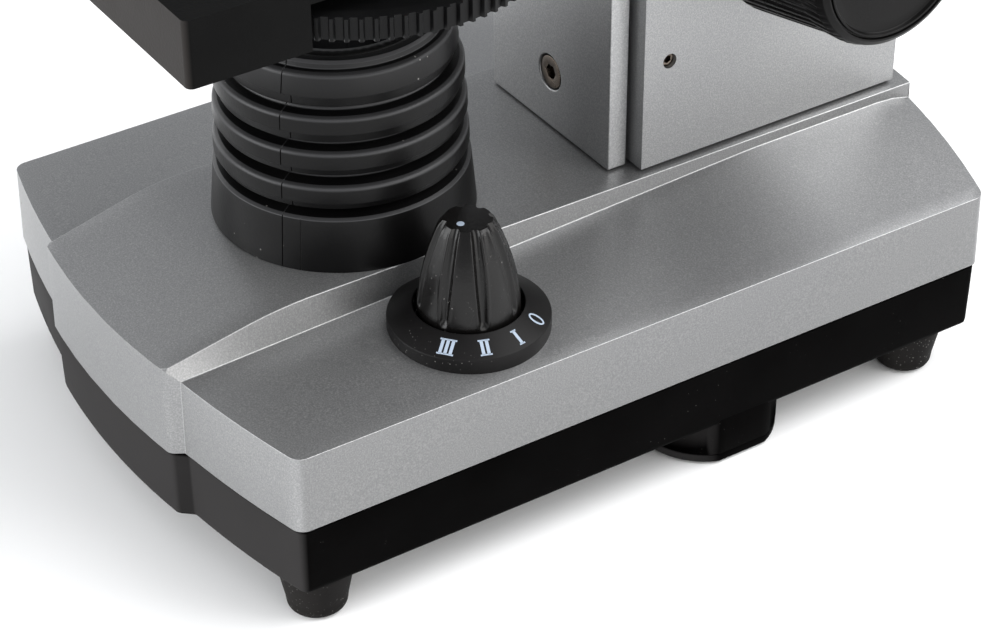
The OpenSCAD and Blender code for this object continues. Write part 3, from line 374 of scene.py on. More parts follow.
def lathe(name, profile, mat, at, segs=128, closed=False, radius=None, angles=None):
    """Turns (r, z) points about Z and places them by the matrix at. closed joins the profile's ends,
    radius(r, z, angle) may change r, and angles replaces the even steps round the axis."""
    verts, faces = [], []
    n = len(profile)
    angles = angles or [2 * math.pi * k / segs for k in range(segs)]
    for a in angles:
        for r, z in profile:
            rr = radius(r, z, a) if radius else r
            verts.append(tuple(at @ Vector((rr * math.cos(a), rr * math.sin(a), z))))
    for k in range(len(angles)):
        a, b = k * n, ((k + 1) % len(angles)) * n
        for i in range(n if closed else n - 1):
            j = (i + 1) % n
            faces.append((a + i, b + i, b + j, a + j))
    return tidy_mesh(obj_from(name, verts, faces, mat))


def sharpen(o, angle):
    """Smooth shading that keeps the edges above the angle crisp."""
    bm = bmesh.new()
    bm.from_mesh(o.data)
    for e in bm.edges:
        if len(e.link_faces) == 2 and e.calc_face_angle(0) > math.radians(angle):
            e.smooth = False
    bm.to_mesh(o.data)
    bm.free()
    return o


def loops_mesh(name, loops, mat):
    """Joins closed loops of the same number of points into a skin with both ends capped."""
    n = len(loops[0])
    verts = [p for loop in loops for p in loop]
    faces = []
    for k in range(len(loops) - 1):
        a, b = k * n, (k + 1) * n
        faces += [(a + i, a + (i + 1) % n, b + (i + 1) % n, b + i) for i in range(n)]
    faces.append(tuple(range(n))[::-1])
    faces.append(tuple(range((len(loops) - 1) * n, len(loops) * n)))
    return tidy_mesh(obj_from(name, verts, faces, mat))


def inset_loop(pts, d):
    """Moves a counter-clockwise loop of (x, y) inwards by d."""
    out = []
    n = len(pts)
    for i in range(n):
        a, b, c = Vector(pts[i - 1]), Vector(pts[i]), Vector(pts[(i + 1) % n])
        e1, e2 = (b - a).normalized(), (c - b).normalized()
        n1, n2 = Vector((-e1.y, e1.x)), Vector((-e2.y, e2.x))
        m = (n1 + n2)
        m = m.normalized() if m.length > 1e-6 else n1
        k = min(1 / max(m.dot(n1), 0.3), 2.5)
        out.append((b.x + m.x * d * k, b.y + m.y * d * k))
    return out


def round_corners(pts, radii):
    """Rounds chosen corners of a closed loop: radii = {index: radius}."""
    out = []
    n = len(pts)
    for i, p in enumerate(pts):
        if i in radii:
            out += fillet([pts[i - 1], p, pts[(i + 1) % n]], [0, radii[i], 0], 5)[1:-1]
        else:
            out.append(p)
    return out


# ------------------------------------------------------------------ the base
# In plan the base has three kinds of arc, each about a point on the middle plane at the given Y
NOSE_R, NOSE_Y = 174.73, 84.97
SIDE_R, SIDE_Y = 225.0, 138.03
REAR_R, REAR_Y = 204.4, -114.65
# Half widths: the nose, the deck's foot at the front, the outline's step, the front and rear corners
NOSE_HALF, FOOT_HALF, STEP_HALF, FRONT_HALF, REAR_HALF = 24.9, 26.5, 27.2, 59.0, 60.0
# Heights of the deck, of the shoulders' outer edge and of the cover's lower edge
DECK, EDGE, BOTTOM = 49.8, 41.7, 25.2
# Share of the deck's length over which it widens quickly
FLARE = 0.14


def y_nose(x):
    return NOSE_Y - math.sqrt(NOSE_R ** 2 - x * x)


def y_side(x):
    return SIDE_Y - math.sqrt(SIDE_R ** 2 - x * x)


def y_rear(x):
    return REAR_Y + math.sqrt(REAR_R ** 2 - x * x)


def share(value, start, length):
    """How far a value has gone along a stretch, from 0 to 1."""
    return min(1, max(0, (value - start) / length))


def foot_z(y):
    """Height of the shoulders along the deck's foot: a rise to the back with a dip at its end."""
    low, rise, dip = 41.75, 5.75, 1.4
    return low + rise * share(y, -85.3, 132.2) - dip * share(y, 79.5, 8.5) ** 2


def deck_height(y):
    """Level deck that bends down smoothly to the nose."""
    past, blend, slope = -63.4 - y, 7.0, 0.218
    if past < -blend:
        return DECK
    return DECK - slope * ((past + blend) ** 2 / (4 * blend) if past < blend else past)


def deck_half(t):
    """Half width of the deck, from t = 0 at its front to t = 1 at its rear."""
    return NOSE_HALF + 0.94 * min(1, t / FLARE) + 1.26 * max(0, (t - FLARE) / (1 - FLARE))


def cover_top():
    """The cover's top as points and faces, with the edges that get a painted highlight as (point, point,
    strength).
    """
    verts, faces, highlight_edges = [], [], []

    def point(x, t, front, height):
        """A point t of the way from a front arc to the rear one, with its height from its Y."""
        y = front(x) + t * (y_rear(x) - front(x))
        verts.append((x, y, height(y)))
        return len(verts) - 1

    # rows from front to back, closer together at the front
    ts = [i / 16 * 0.25 for i in range(16)] + [0.25 + i / 30 * 0.75 for i in range(31)]
    tops = {}
    for side in (1, -1):
        grid = []
        for t in ts:
            foot = FOOT_HALF + 0.45 * t
            outer = FRONT_HALF + (REAR_HALF - FRONT_HALF) * t
            row = [point(side * deck_half(t), t, y_nose, deck_height)]
            for s in (0, 0.12, 0.3, 0.5, 0.7, 0.88, 1):
                row.append(point(side * (foot + s * (outer - foot)), t, y_side,
                                 lambda y: foot_z(y) * (1 - s) + EDGE * s))
            grid.append(row)
        tops[side] = [row[0] for row in grid]
        highlight_edges += [(a, b, 0.4) for a, b in zip(grid[0][1:], grid[0][2:])]
        for a, b in zip(grid, grid[1:]):
            highlight_edges += [(a[0], b[0], 1), (a[1], b[1], 1), (a[-1], b[-1], 0.5)]
            for quad in zip(a, a[1:], b[1:], b):
                faces.append(quad if side > 0 else quad[::-1])
    rows = []
    for k, t in enumerate(ts):
        row = [point(u * deck_half(t), t, y_nose, deck_height) for u in (-0.8, -0.5, -0.2, 0.2, 0.5, 0.8)]
        rows.append([tops[-1][k]] + row + [tops[1][k]])
    for a, b in zip(rows, rows[1:]):
        faces += list(zip(a, a[1:], b[1:], b))
    return verts, faces, highlight_edges


def base_cover():
    verts, faces, highlight_edges = cover_top()
    o = obj_from("base_cover_skin", verts, faces, SILVER_BASE_RIGHT_SHADED)
    bm = bmesh.new()
    bm.from_mesh(o.data)
    bmesh.ops.recalc_face_normals(bm, faces=bm.faces)
    weight = bm.edges.layers.float.new("bevel_weight_edge")
    bm.verts.ensure_lookup_table()
    for i, j, strength in highlight_edges:
        e = bm.edges.get((bm.verts[i], bm.verts[j]))
        if e:
            e[weight] = strength
    # the walls, and a lip that turns inwards under them
    for scale_x, scale_y in ((1.004, 1.003), (0.955, 0.97)):
        rim = [e for e in bm.edges if e.is_boundary]
        new = bmesh.ops.extrude_edge_only(bm, edges=rim)["geom"]
        for p in (g for g in new if isinstance(g, bmesh.types.BMVert)):
            p.co.x *= scale_x
            p.co.y *= scale_y
            p.co.z = BOTTOM * MM
    bmesh.ops.recalc_face_normals(bm, faces=bm.faces)
    bm.verts.ensure_lookup_table()

    def upright(e, x, y):
        """Whether an edge stands upright in the walls near x and y."""
        a, b = e.verts
        return (abs(a.co.z - b.co.z) > 5 * MM and abs(abs(a.co.x) / MM - x) < 0.6
                and abs((a.co.y + b.co.y) / 2 / MM - y) < 0.9)

    weight = bm.edges.layers.float["bevel_weight_edge"]
    # the upright edge at the deck's foot gets a weaker painted highlight
    for e in bm.edges:
        if upright(e, FOOT_HALF + 0.1, y_side(FOOT_HALF)):
            e[weight] = 0.45
    front_corner = (FRONT_HALF + 0.1, y_side(FRONT_HALF), 2.08)
    rear_corner = (REAR_HALF + 0.1, y_rear(REAR_HALF), 1.76)
    nose_corner = (NOSE_HALF + 0.05, y_nose(NOSE_HALF), 0.88)
    for x, y, r in (front_corner, rear_corner, nose_corner):
        found = [e for e in bm.edges if upright(e, x, y)]
        bmesh.ops.bevel(bm, geom=found, offset=r * MM, segments=5, affect="EDGES", profile=0.5,
                        clamp_overlap=True)
    for f in bm.faces:
        f.smooth = True
    bm.to_mesh(o.data)
    bm.free()
    # edges with a painted highlight first, in their own brighter material, then the plain rounding
    o.data.materials.append(SILVER_EDGE_HIGHLIGHT)
    highlight_bevel = bevel(o, 0.5, 4, 22, harden=False)
    highlight_bevel.limit_method = "WEIGHT"
    highlight_bevel.material = 1
    bevel(o, 0.55, 3, 24)
    place(o, "base_cover", "base_cover")


def base_outline():
    """Counter-clockwise outline of the base with rounded corners."""
    half = [(NOSE_HALF * i / 8, y_nose(NOSE_HALF * i / 8)) for i in range(9)]
    radii = {len(half) - 1: 2.6, len(half): 0.7}
    for i in range(9):
        x = STEP_HALF + (FRONT_HALF - STEP_HALF) * i / 8
        half.append((x, y_side(x)))
    radii.update({len(half) - 1: 2.8, len(half): 2.2})
    for i in range(17):
        x = REAR_HALF * (1 - i / 16)
        half.append((x, y_rear(x)))
    pts = half + [(-x, y) for x, y in half[1:-1]][::-1]
    radii.update({len(pts) - k: r for k, r in list(radii.items())})
    return round_corners(pts, radii)


TUB_HALF, TUB_R, TUB_Y, TUB_CUT = 45.4, 15.1, 22.3, 59.3


def tub_loops(levels):
    """The battery tub's outline at each (height, inset), its round ends cut flush with the sides."""
    loops = []
    for z, d in levels:
        loop = []
        for side, start in ((1, -math.pi / 2), (-1, math.pi / 2)):
            for k in range(33):
                a = start + math.pi * k / 32
                x = side * TUB_HALF + (TUB_R - d) * math.cos(a)
                x = max(-TUB_CUT + d, min(TUB_CUT - d, x))
                loop.append((x, TUB_Y + (TUB_R - d) * math.sin(a), z))
        loops.append(loop)
    return loops


def base_pan():
    levels = [(26.5, 1.6), (25.35, 1.6), (24.75, 1.5), (24.55, 0.45), (24.3, 0.2), (18, 0.3),
              (10.9, 0.45), (10.1, 0.6), (9.78, 0.95), (9.7, 1.6)]
    outline = base_outline()
    loops = [[(x, y, z) for x, y in inset_loop(outline, d)] for z, d in levels]
    pan = loops_mesh("base_pan_skin", loops, PAN)
    bevel(pan, 0.15, 2, 40, harden=False)
    place(pan, "base_pan", "base_pan")
    levels = [(11.6, 0.9), (11.3, 0.3), (10.0, 0), (2.3, 0.0), (2.16, 0.06), (2.14, 0.4)]
    tub = loops_mesh("battery_tub", tub_loops(levels), PAN)
    bevel(tub, 0.3, 3, 35, harden=False)
    place(tub, "base_pan", slot="black_plastic")
    levels = [(2.12, 0.4), (2.1, 0.05), (1.2, 0.03), (0.42, 0.1), (0.22, 0.35), (0.15, 0.9)]
    door = loops_mesh("battery_door_skin", tub_loops(levels), PAN)
    bevel(door, 0.2, 2, 35, harden=False)
    place(door, "battery_door", "battery_door")


def feet():
    profile = [(0, 0.35), (2.4, 0.35), (2.7, 0.0), (5.75, 0.0), (6.1, 3.0), (7.4, 9.6), (7.4, 11.5)]
    profile = fillet(profile, [0, 0.2, 0.2, 2.4, 2, 0.2], 6)
    for i, (x, y) in enumerate([(51, -72.3), (-51, -72.3), (51.7, 70.5), (-51.7, 70.5)]):
        o = lathe(f"foot_{i}", profile, RUBBER, Matrix.Translation((x, y, 0)), 64)
        place(o, "feet", *(["feet"] if i == 0 else []), slot="rubber")


base_cover()
base_pan()
feet()

# ------------------------------------------------------------------ light tower
# Y of the optical axis, which the tower, nosepiece and head share
AXIS_Y = -34.4
ON_AXIS = Matrix.Translation((0, AXIS_Y, 0))
# Directions of the parting lines, as turns counted from +X
MAIN_SEAM, LIP_SEAM, FAINT_SEAM = (2 * math.pi + math.radians(a) for a in (-57.0, -52.7, -48.6))
# Each wall ring: height of its lip, then height and radius of its lower and upper edge
WALL_RINGS = [(63.0, 64.5, 25.04, 67.55, 24.92), (70.3, 71.86, 24.74, 74.87, 24.63),
              (77.3, 79.24, 24.32, 82.23, 24.24), (84.3, 86.5, 23.18, 90.5, 22.4)]
# The heights between which each lip carries the shifted seam
LIPS = [(62.8, 64.2), (70.1, 71.55), (77.1, 78.95), (84.1, 86.2)]
PLINTH_TOP = 61


def seam_cut(r, z, a):
    """Fine parting lines: one down the walls, set off on the lips, and a faint one on the plinth."""
    if r < 20.4:
        return r

    def groove(seam, depth, half):
        away = abs(a - seam) * r
        return depth * max(0.0, 1 - away / half)

    on_lip = any(low < z < high for low, high in LIPS)
    cut = groove(LIP_SEAM if on_lip else MAIN_SEAM, 0.30, 0.11)
    if z < PLINTH_TOP:
        cut += groove(FAINT_SEAM, 0.10, 0.12)
    return r - cut


def light_tower():
    p = [(15.1, 49.0), (26.3, 49.8), (25.3, 60.85), (24.6, 61.3), (21.2, 61.9), (20.9, 63.3)]
    rad = [0, 0.2, 0.3, 0.4, 0.8, 0.5]
    for i, (lip, z0, r0, z1, r1) in enumerate(WALL_RINGS):
        last = i == len(WALL_RINGS) - 1
        p += [(r0 - 0.8, lip), (r0 - 0.62, z0 - 0.32), (r0, z0), (r1, z1 + 0.1), (r1 - 1.0, z1 + 0.62)]
        rad += [0.18, 0.08, 0.14, 1.8 if last else 1.0, 0.5]
        if not last:
            p += [(21.4, z1 + 0.95), (21.0, WALL_RINGS[i + 1][0] - 0.05)]
            rad += [0.5, 0.5]
    p += [(20.6, 91.3), (20.4, 92.2), (19.8, 92.75), (18.3, 92.75), (17.9, 92.4), (17.9, 86.9), (15.1, 86.7)]
    rad += [0.3, 0.2, 0.35, 0.25, 0.2, 0.1]
    # even steps round the tower, with finer ones across each seam
    turns = {round(2 * math.pi * k / 300, 6) for k in range(300)}
    for seam in (MAIN_SEAM, LIP_SEAM, FAINT_SEAM):
        turns |= {round(seam + k * 0.0011, 6) for k in range(-6, 7)}
    o = lathe("light_tower_skin", fillet(p, rad, 5), TOWER, ON_AXIS, radius=seam_cut, angles=sorted(turns))
    place(sharpen(o, 55), "light_tower", "light_tower")


light_tower()

# ------------------------------------------------------------------ switch
SWITCH_X, SWITCH_Y = 40.8, -31.2
SWITCH = Matrix.Translation((SWITCH_X, SWITCH_Y, 0))
DIAL_R, DIAL_Z = 15.73, 45.1


def cone(r):
    """Height of the dial's face at a radius."""
    return DIAL_Z + (DIAL_R - r) * 0.52


def polar(r, angle):
    return Vector((math.cos(angle), math.sin(angle))) * r


def numeral_bars(count, angle):
    """Bars of the numeral for 1, 2 or 3, feet outwards, each as four (point, radius) corners."""
    a = math.radians(angle)
    serif = (count - 1) / 2 + 0.62
    spans = [(12.1, 14.8, k - (count - 1) / 2 - 0.31, k - (count - 1) / 2 + 0.31) for k in range(count)]
    spans += [(12.0, 12.25, -serif, serif), (14.68, 14.93, -serif, serif)]
    bars = []
    for r0, r1, t0, t1 in spans:
        corners = ((r0, t0), (r1, t0), (r1, t1), (r0, t1))
        bars.append([(polar(r, a) + polar(t, a + math.pi / 2), r) for r, t in corners])
    return bars


def dial_marks():
    """The marks 0, I, II and III, a little above the dial's face."""
    verts, faces = [], []
    for bar in numeral_bars(3, -50.3) + numeral_bars(2, -19.6) + numeral_bars(1, 10):
        n = len(verts)
        verts += [(q.x, q.y, cone(r) + 0.03) for q, r in bar] + [(q.x, q.y, cone(r) - 0.05) for q, r in bar]
        faces += [(n, n + 1, n + 2, n + 3)]
        faces += [(n + 4 + k, n + k, n + (k + 3) % 4, n + 4 + (k + 3) % 4) for k in range(4)]
    a, n, steps = math.radians(39), len(verts), 40
    for k in range(steps):
        b = 2 * math.pi * k / steps
        for along, across in ((1.5, 1.1), (1.2, 0.616)):
            q = polar(13.4 + along * math.cos(b), a) + polar(across * math.sin(b), a + math.pi / 2)
            verts.append((q.x, q.y, cone(q.length) + 0.03))
    for k in range(steps):
        this, following = n + 2 * k, n + 2 * ((k + 1) % steps)
        faces.append((this, this + 1, following + 1, following))
    o = obj_from("dial_marks", [tuple(SWITCH @ Vector(q)) for q in verts], faces, MARK_PAINT)
    for f in o.data.polygons:
        f.use_smooth = False
    tidy_mesh(o, 0.0001)
    place(o, "dial_skirt", slot="white_board")


def dial():
    p = [(DIAL_R, 40.6), (DIAL_R, DIAL_Z), (10.75, cone(10.75)), (10.6, 47.3), (10.6, 42.7), (4.7, 42.6),
         (4.7, 40.6)]
    o = lathe("dial_skirt_skin", fillet(p, [0, 0.35, 0.2, 0.1, 0.2, 0]), DIAL, SWITCH, 160, closed=True)
    place(sharpen(o, 60), "dial_skirt", "dial_skirt")
    dial_marks()


FLUTES = 8
# The knob's radius at heights above the dial's rim
KNOB_OUTLINE = [(0.0, 9.95), (1.2, 10.0), (3.9, 9.8), (8.4, 9.1), (12.3, 8.2), (15.2, 7.35), (18.0, 6.35),
                (19.6, 5.7), (20.6, 5.15), (21.2, 4.7)]


def knob_radius(h):
    for (h0, r0), (h1, r1) in zip(KNOB_OUTLINE, KNOB_OUTLINE[1:]):
        if h <= h1:
            return r0 + (r1 - r0) * (h - h0) / (h1 - h0)
    return KNOB_OUTLINE[-1][1]


def flute_cut(r, z, a):
    """Rounded flutes that start above the knob's collar, with a fine rib on each side."""
    h = z - DIAL_Z
    if h < 2.6 or r < 3.0:
        return r
    k = (a - math.radians(-61)) / (2 * math.pi / FLUTES)
    d = abs(k - round(k)) * 2 * math.pi / FLUTES * r
    w = 0.72 + 0.42 * math.exp(-((h - 12) / 9) ** 2)
    depth = 0.85 * min(1, (h - 2.6) / 0.9) * (1 - 0.2 * max(0, (h - 17) / 4))
    groove = 1 - (d / w) ** 2.4 if d < w else 0
    rib = 0.13 * math.exp(-((d - w - 0.22) / 0.24) ** 2) * min(1, (h - 2.6) / 1.4)
    return r - depth * groove + rib * (h < 20.5)


def switch_knob():
    heights = [0.0, 0.8, 1.6, 2.4, 3.0, 3.4, 3.8, 4.2, 4.8] + [5.5 + 0.9 * k for k in range(15)]
    heights += [18.6, 19.1, 19.6, 20.0, 20.35, 20.7, 21.0, 21.2]
    profile = [(9.2, 43.1), (9.95, 43.2)] + [(knob_radius(h), DIAL_Z + h) for h in heights]
    profile += [(3.0, 66.3), (0.0, 66.3)]
    o = lathe("switch_knob_skin", profile, KNOB, SWITCH, 384, radius=flute_cut)
    place(sharpen(o, 50), "switch_knob", "switch_knob")
    spot = polar(2.2, math.radians(-70))
    dot = lathe("knob_dot", fillet([(0.74, 66.25), (0.74, 66.36), (0, 66.37)], [0, 0.05, 0], 3), MARK_PAINT,
                Matrix.Translation((SWITCH_X + spot.x, SWITCH_Y + spot.y, 0)), 32)
    place(dot, "switch_knob", slot="white_board")


dial()
switch_knob()

# ------------------------------------------------------------------ focus knobs
FOCUS_RIBS = 56
FOCUS_Y, FOCUS_Z = 55, 101.7


def focus_cut(r, z, a):
    """Grooves along the knob's cone, which run on more shallowly over its outer rim."""
    if r < 17.8 or z < 2.0 or z > 26.4:
        return r
    k = a * FOCUS_RIBS / (2 * math.pi)
    d = abs(k - round(k)) * 2
    if d >= 0.55:
        return r
    if z < 22.6:
        fade = 1
    elif z < 23.3:
        fade = max(0.45, 1 - (z - 22.6) / 0.5)
    else:
        fade = 0.45 * min(1, (26.4 - z) / 0.8)
    fade *= min(1, (z - 2.0) / 1.2)
    return r - 0.62 * fade * (1 - (d / 0.55) ** 2) ** 0.8


def focus_knobs():
    profile = fillet([(8.2, 0.3), (20.6, 0.0), (22.4, 0.9), (22.5, 2.2), (18.75, 21.4), (18.75, 22.1),
                      (18.45, 25.7), (17.7, 27.6), (16.7, 28.2), (16.35, 28.2), (16.25, 27.5), (15.95, 27.5),
                      (15.85, 28.1), (15.45, 28.1), (15.2, 27.3), (13.5, 27.2), (5.5, 27.2), (0, 27.2)],
                     [0, 0.6, 1.4, 0.8, 0.25, 0.3, 1.2, 0.8, 0.4, 0.12, 0.1, 0.1, 0.12, 0.15, 0.3, 1.0])
    # more points along the grooved stretch
    dense = []
    for (r0, z0), (r1, z1) in zip(profile, profile[1:]):
        grooved = 1.5 < z0 < z1 < 23
        n = max(1, int(math.hypot(r1 - r0, z1 - z0) / 1.1)) if grooved else 1
        dense += [(r0 + (r1 - r0) * k / n, z0 + (z1 - z0) * k / n) for k in range(n)]
    dense.append(profile[-1])
    for name, s in (("focus_knob_right", 1), ("focus_knob_left", -1)):
        at = Matrix.Translation((s * 28.5, FOCUS_Y, FOCUS_Z)) @ Matrix.Rotation(s * math.pi / 2, 4, "Y")
        o = lathe(name + "_skin", dense, FOCUS, at, FOCUS_RIBS * 10, radius=focus_cut)
        place(sharpen(o, 60), name, name, *(["focus_knob_caps"] if s == 1 else []))


focus_knobs()

# ------------------------------------------------------------------ objectives
# The three objectives' axes lie on a cone about the nosepiece's tilted axis and meet at its apex.
# Their shoulders lie on a ring; the shoulder of the objective in use is level.
TILT = math.radians(-18)
RING_R, SHOULDER_Z = 15.5, 188.5
APEX = Vector((0, AXIS_Y, SHOULDER_Z + RING_R / math.sin(-TILT)))
NOSEPIECE = (Matrix.Translation(APEX) @ Matrix.Rotation(TILT, 4, "X")
             @ Matrix.Translation((0, 0, RING_R / math.tan(TILT))))
BAND_COLORS = [(0.55, 0.02, 0.02), (0.75, 0.52, 0.02), (0.05, 0.22, 0.62)]


def at_objective(k):
    """The shoulder of objective k, with +Z pointing at the apex."""
    return (Matrix.Translation(APEX) @ Matrix.Rotation(TILT, 4, "X")
            @ Matrix.Rotation(math.radians(120 * k), 4, "Z") @ Matrix.Rotation(-TILT, 4, "X")
            @ Matrix.Translation((0, 0, RING_R / math.sin(TILT))))


def knurl(count, depth, z0, z1, r_min):
    """A radius function for lathe: grooves between two heights, outside r_min."""
    def cut(r, z, a):
        if r < r_min or z < z0 or z > z1:
            return r
        return r - depth * (0.5 + 0.5 * math.cos(a * count))
    return cut


def objective(name, k, body, length=None, nose=None):
    """A screw-in barrel of the length body with a colour band. It narrows to a nose at the length
    given, or stays open for a sprung nose."""
    p = [(9.6, 0.4), (12.0, 0.1), (12.0, -3.4), (11.5, -3.8), (11.5, -4.3), (11.2, -4.8), (11.2, -body)]
    rad = [0, 0.3, 0.3, 0.15, 0.15, 0.3, 0.4]
    if length:
        p += [(10.4, -body - 1.2), (nose + 2.2, -length + 5.6), (nose + 1.0, -length + 0.9),
              (nose + 0.5, -length + 0.1), (3.1, -length + 0.1), (3.05, -length + 3)]
        rad += [0.6, 1.5, 0.4, 0.2, 0.2]
    else:
        p += [(10.3, -body - 0.8), (8.6, -body - 0.8), (8.6, -body + 4)]
        rad += [0.3, 0.1]
    o = lathe(name + "_skin", fillet(p, rad), CHROME, at_objective(k), 96,
              radius=knurl(60, 0.22, -3.2, -0.3, 11.8))
    place(sharpen(o, 50), name, name)
    p = [(11.1, -body + 3.6), (11.26, -body + 3.5), (11.26, -body + 2.1), (11.1, -body + 2.0)]
    paint = plastic(f"band_{k}", BAND_COLORS[k], 0.3, dust=0)
    band = lathe(name + "_band", fillet(p, [0, 0.08, 0.08, 0], 2), paint, at_objective(k), 96)
    place(band, name, slot="led" if k == 1 else "cell_wrap")


def tip():
    p = [(8.45, -10), (8.45, -27.9), (9.5, -28.6), (9.5, -30.8), (8.9, -31.6), (5.6, -41.0), (4.0, -43.2),
         (3.5, -44.2), (3.1, -44.2), (3.05, -41)]
    p = fillet(p, [0, 0.1, 0.4, 0.5, 0.4, 1.5, 0.8, 0.2, 0.1])
    o = lathe("objective_40x_tip_skin", p, CHROME, at_objective(2), 96)
    place(sharpen(o, 50), "objective_40x_tip", "objective_40x_tip")


objective("objective_4x", 0, 12, 27, 6.2)
objective("objective_10x", 1, 24, 38, 4.6)
objective("objective_40x", 2, 25.2)
tip()

# ------------------------------------------------------------------ head and eyepiece
PRISM_Z = 249.0
COLLAR_R, HEAD_Z = 23.5, 233.4
TUBE = Matrix.Translation((0, AXIS_Y, PRISM_Z)) @ Matrix.Rotation(math.radians(-45), 4, "X")


def head():
    """The prism housing: a soft block with a sloping face square to the eyepiece tube."""
    reach, half = 24.0, 17.0
    c = math.cos(math.radians(45))
    face = Vector((reach * c, PRISM_Z + reach * c))
    low = face + Vector((c, -c)) * half
    high = face + Vector((-c, c)) * half
    side = [(-COLLAR_R, HEAD_Z), (COLLAR_R, HEAD_Z), (low.x, low.y), (high.x, high.y), (high.x - 4, high.y),
            (-COLLAR_R, HEAD_Z + 22)]
    side = fillet(side + [side[0]], [0, 1.0, 4, 4, 3, 9, 0], 6)[:-1]
    # slices across the width: distance from the middle plane and inset of the outline there
    slices = [(-23.5, 2.0), (-22.9, 0.8), (-21.4, 0.16), (-19, 0)]
    slices += [(-x, d) for x, d in slices[::-1]]
    loops = [[(x, AXIS_Y + y, z) for y, z in inset_loop(side, d)] for x, d in slices]
    o = loops_mesh("head_skin", loops, SILVER)
    # the front of the housing follows the round collar under it
    for v in o.data.vertices:
        x, y = v.co.x / MM, v.co.y / MM - AXIS_Y
        if y < 0:
            limit = math.sqrt(max(COLLAR_R ** 2 - x * x, 1.0))
            v.co.y = (AXIS_Y + max(y, -limit)) * MM
    bevel(o, 0.3, 2, 45, harden=False)
    place(o, "head", "head")


def collar_and_tube():
    p = [(15.2, 222.3), (18.2, 222.3), (18.2, 228.02), (23.0, 228.02), (23.0, 233.0), (15.2, 233.0)]
    o = lathe("head_collar_skin", fillet(p, [0, 0.2, 0.1, 0.5, 0.5, 0]), BLACK, ON_AXIS)
    place(sharpen(o, 50), "head_collar", "head_collar")
    p = [(11.7, 23.9), (15.7, 24.02), (15.7, 27.0), (14.5, 27.6), (14.5, 57.6), (15.2, 58.0), (15.2, 61.9),
         (11.9, 62.0), (11.7, 60)]
    o = lathe("eyepiece_tube_skin", fillet(p, [0, 0.5, 0.4, 0.4, 0.2, 0.2, 0.5, 0.3]), BLACK, TUBE)
    place(sharpen(o, 50), "eyepiece_tube", "eyepiece_tube")


def eyepiece():
    z = 62.12
    p = [(11.55, z - 20), (11.55, z), (14.5, z), (15.0, z + 0.6), (15.0, z + 8.8), (14.6, z + 9.4),
         (14.2, z + 9.8), (14.2, z + 14.3), (13.0, z + 17.0), (11.2, z + 18.0), (9.0, z + 17.6),
         (7.4, z + 16.4), (7.05, z + 15), (7.05, z + 10.5)]
    p = fillet(p, [0, 0.1, 0.3, 0.4, 0.3, 0.2, 0.3, 1.5, 1.8, 0.8, 1.0, 0.8, 0.3])
    o = lathe("eyepiece_skin", p, KNOB, TUBE, 240, radius=knurl(60, 0.35, z + 1.2, z + 8.4, 14.9))
    place(sharpen(o, 50), "eyepiece", "eyepiece")


head()
collar_and_tube()
eyepiece()


# ------------------------------------------------------------------ turret
def turret():
    p = [(5.5, -1.4), (14, -1.5), (23.6, 0.5), (27.6, 0.9), (28, 1.4), (28, 4.6), (27.5, 5.0), (3.2, 5.0)]
    p = fillet(p, [0, 0.5, 0.8, 0.3, 0.3, 0.3, 0.3, 0])
    o = lathe("turret_disc", p, CHROME, NOSEPIECE, 360, radius=knurl(90, 0.4, 1.2, 4.7, 27.0))
    place(sharpen(o, 50), "nosepiece_turret", "nosepiece_turret")
    p = [(10.1, 0.05), (11.5, 0.05), (11.5, 3.2), (9.8, 3.4), (9.8, 0.5)]
    p = fillet(p, [0, 0.3, 0.3, 0.1, 0], 3)
    for k in range(3):
        boss = lathe(f"turret_boss_{k}", p, CHROME, at_objective(k), 72)
        place(boss, "nosepiece_turret", slot="chrome")


turret()


# ------------------------------------------------------------------ the carriage's slab
def slab():
    """A plate with two round pockets for its screws, meshed as two fields about the pockets."""
    half, y0, y1 = 21.06, 14.5, 18.95
    bottom, middle, top = 50.15, 85.35, 123.9
    pocket_r, pocket_depth = 3.9, 3.0
    n = 8
    bm = bmesh.new()

    def point(x, y, z):
        return bm.verts.new((x * MM, y * MM, z * MM))

    for low, high, screw_z in ((bottom, middle, 62.7), (middle, top, 108)):
        tall = high - low
        rim = [(-half + 2 * half * k / n, low) for k in range(n)]
        rim += [(half, low + tall * k / n) for k in range(n)]
        rim += [(half - 2 * half * k / n, high) for k in range(n)]
        rim += [(-half, high - tall * k / n) for k in range(n)]
        turns = [math.atan2((z - screw_z) / tall, x / (2 * half)) for x, z in rim]
        rows = [[point(x, y0, z) for x, z in rim]]
        for y in (y0, y0 + pocket_depth):
            rows.append([point(pocket_r * math.cos(a), y, screw_z + pocket_r * math.sin(a)) for a in turns])
        for a, b in zip(rows, rows[1:]):
            for i in range(len(rim)):
                j = (i + 1) % len(rim)
                bm.faces.new((a[i], a[j], b[j], b[i]))
        bm.faces.new(rows[-1])
    bmesh.ops.remove_doubles(bm, verts=bm.verts, dist=0.001 * MM)
    outer = [e for e in bm.edges if e.is_boundary]
    new = bmesh.ops.extrude_edge_only(bm, edges=outer)["geom"]
    for g in new:
        if isinstance(g, bmesh.types.BMVert):
            g.co.y = y1 * MM
    bmesh.ops.contextual_create(bm, geom=[g for g in new if isinstance(g, bmesh.types.BMEdge)])
    bmesh.ops.recalc_face_normals(bm, faces=bm.faces)
    me = bpy.data.meshes.new("stage_carriage_skin")
    bm.to_mesh(me)
    bm.free()
    o = link("stage_carriage_skin", me, SILVER_SLAB_RIGHT_LIT)
    bevel(o, 0.35, 3, 40)
    place(o, "stage_carriage", "stage_carriage")


slab()

# ------------------------------------------------------------------ CAD nodes that stay
OWN_MATERIAL = {"arm": SILVER_ARM_RIGHT_LIT, "stage": STAGE, "stage_bracket": STAGE, "tower_lens": SMOKED,
                "diaphragm_wheel": WHEEL, "carriage_screws": BOLT, "gib_screws": BOLT}
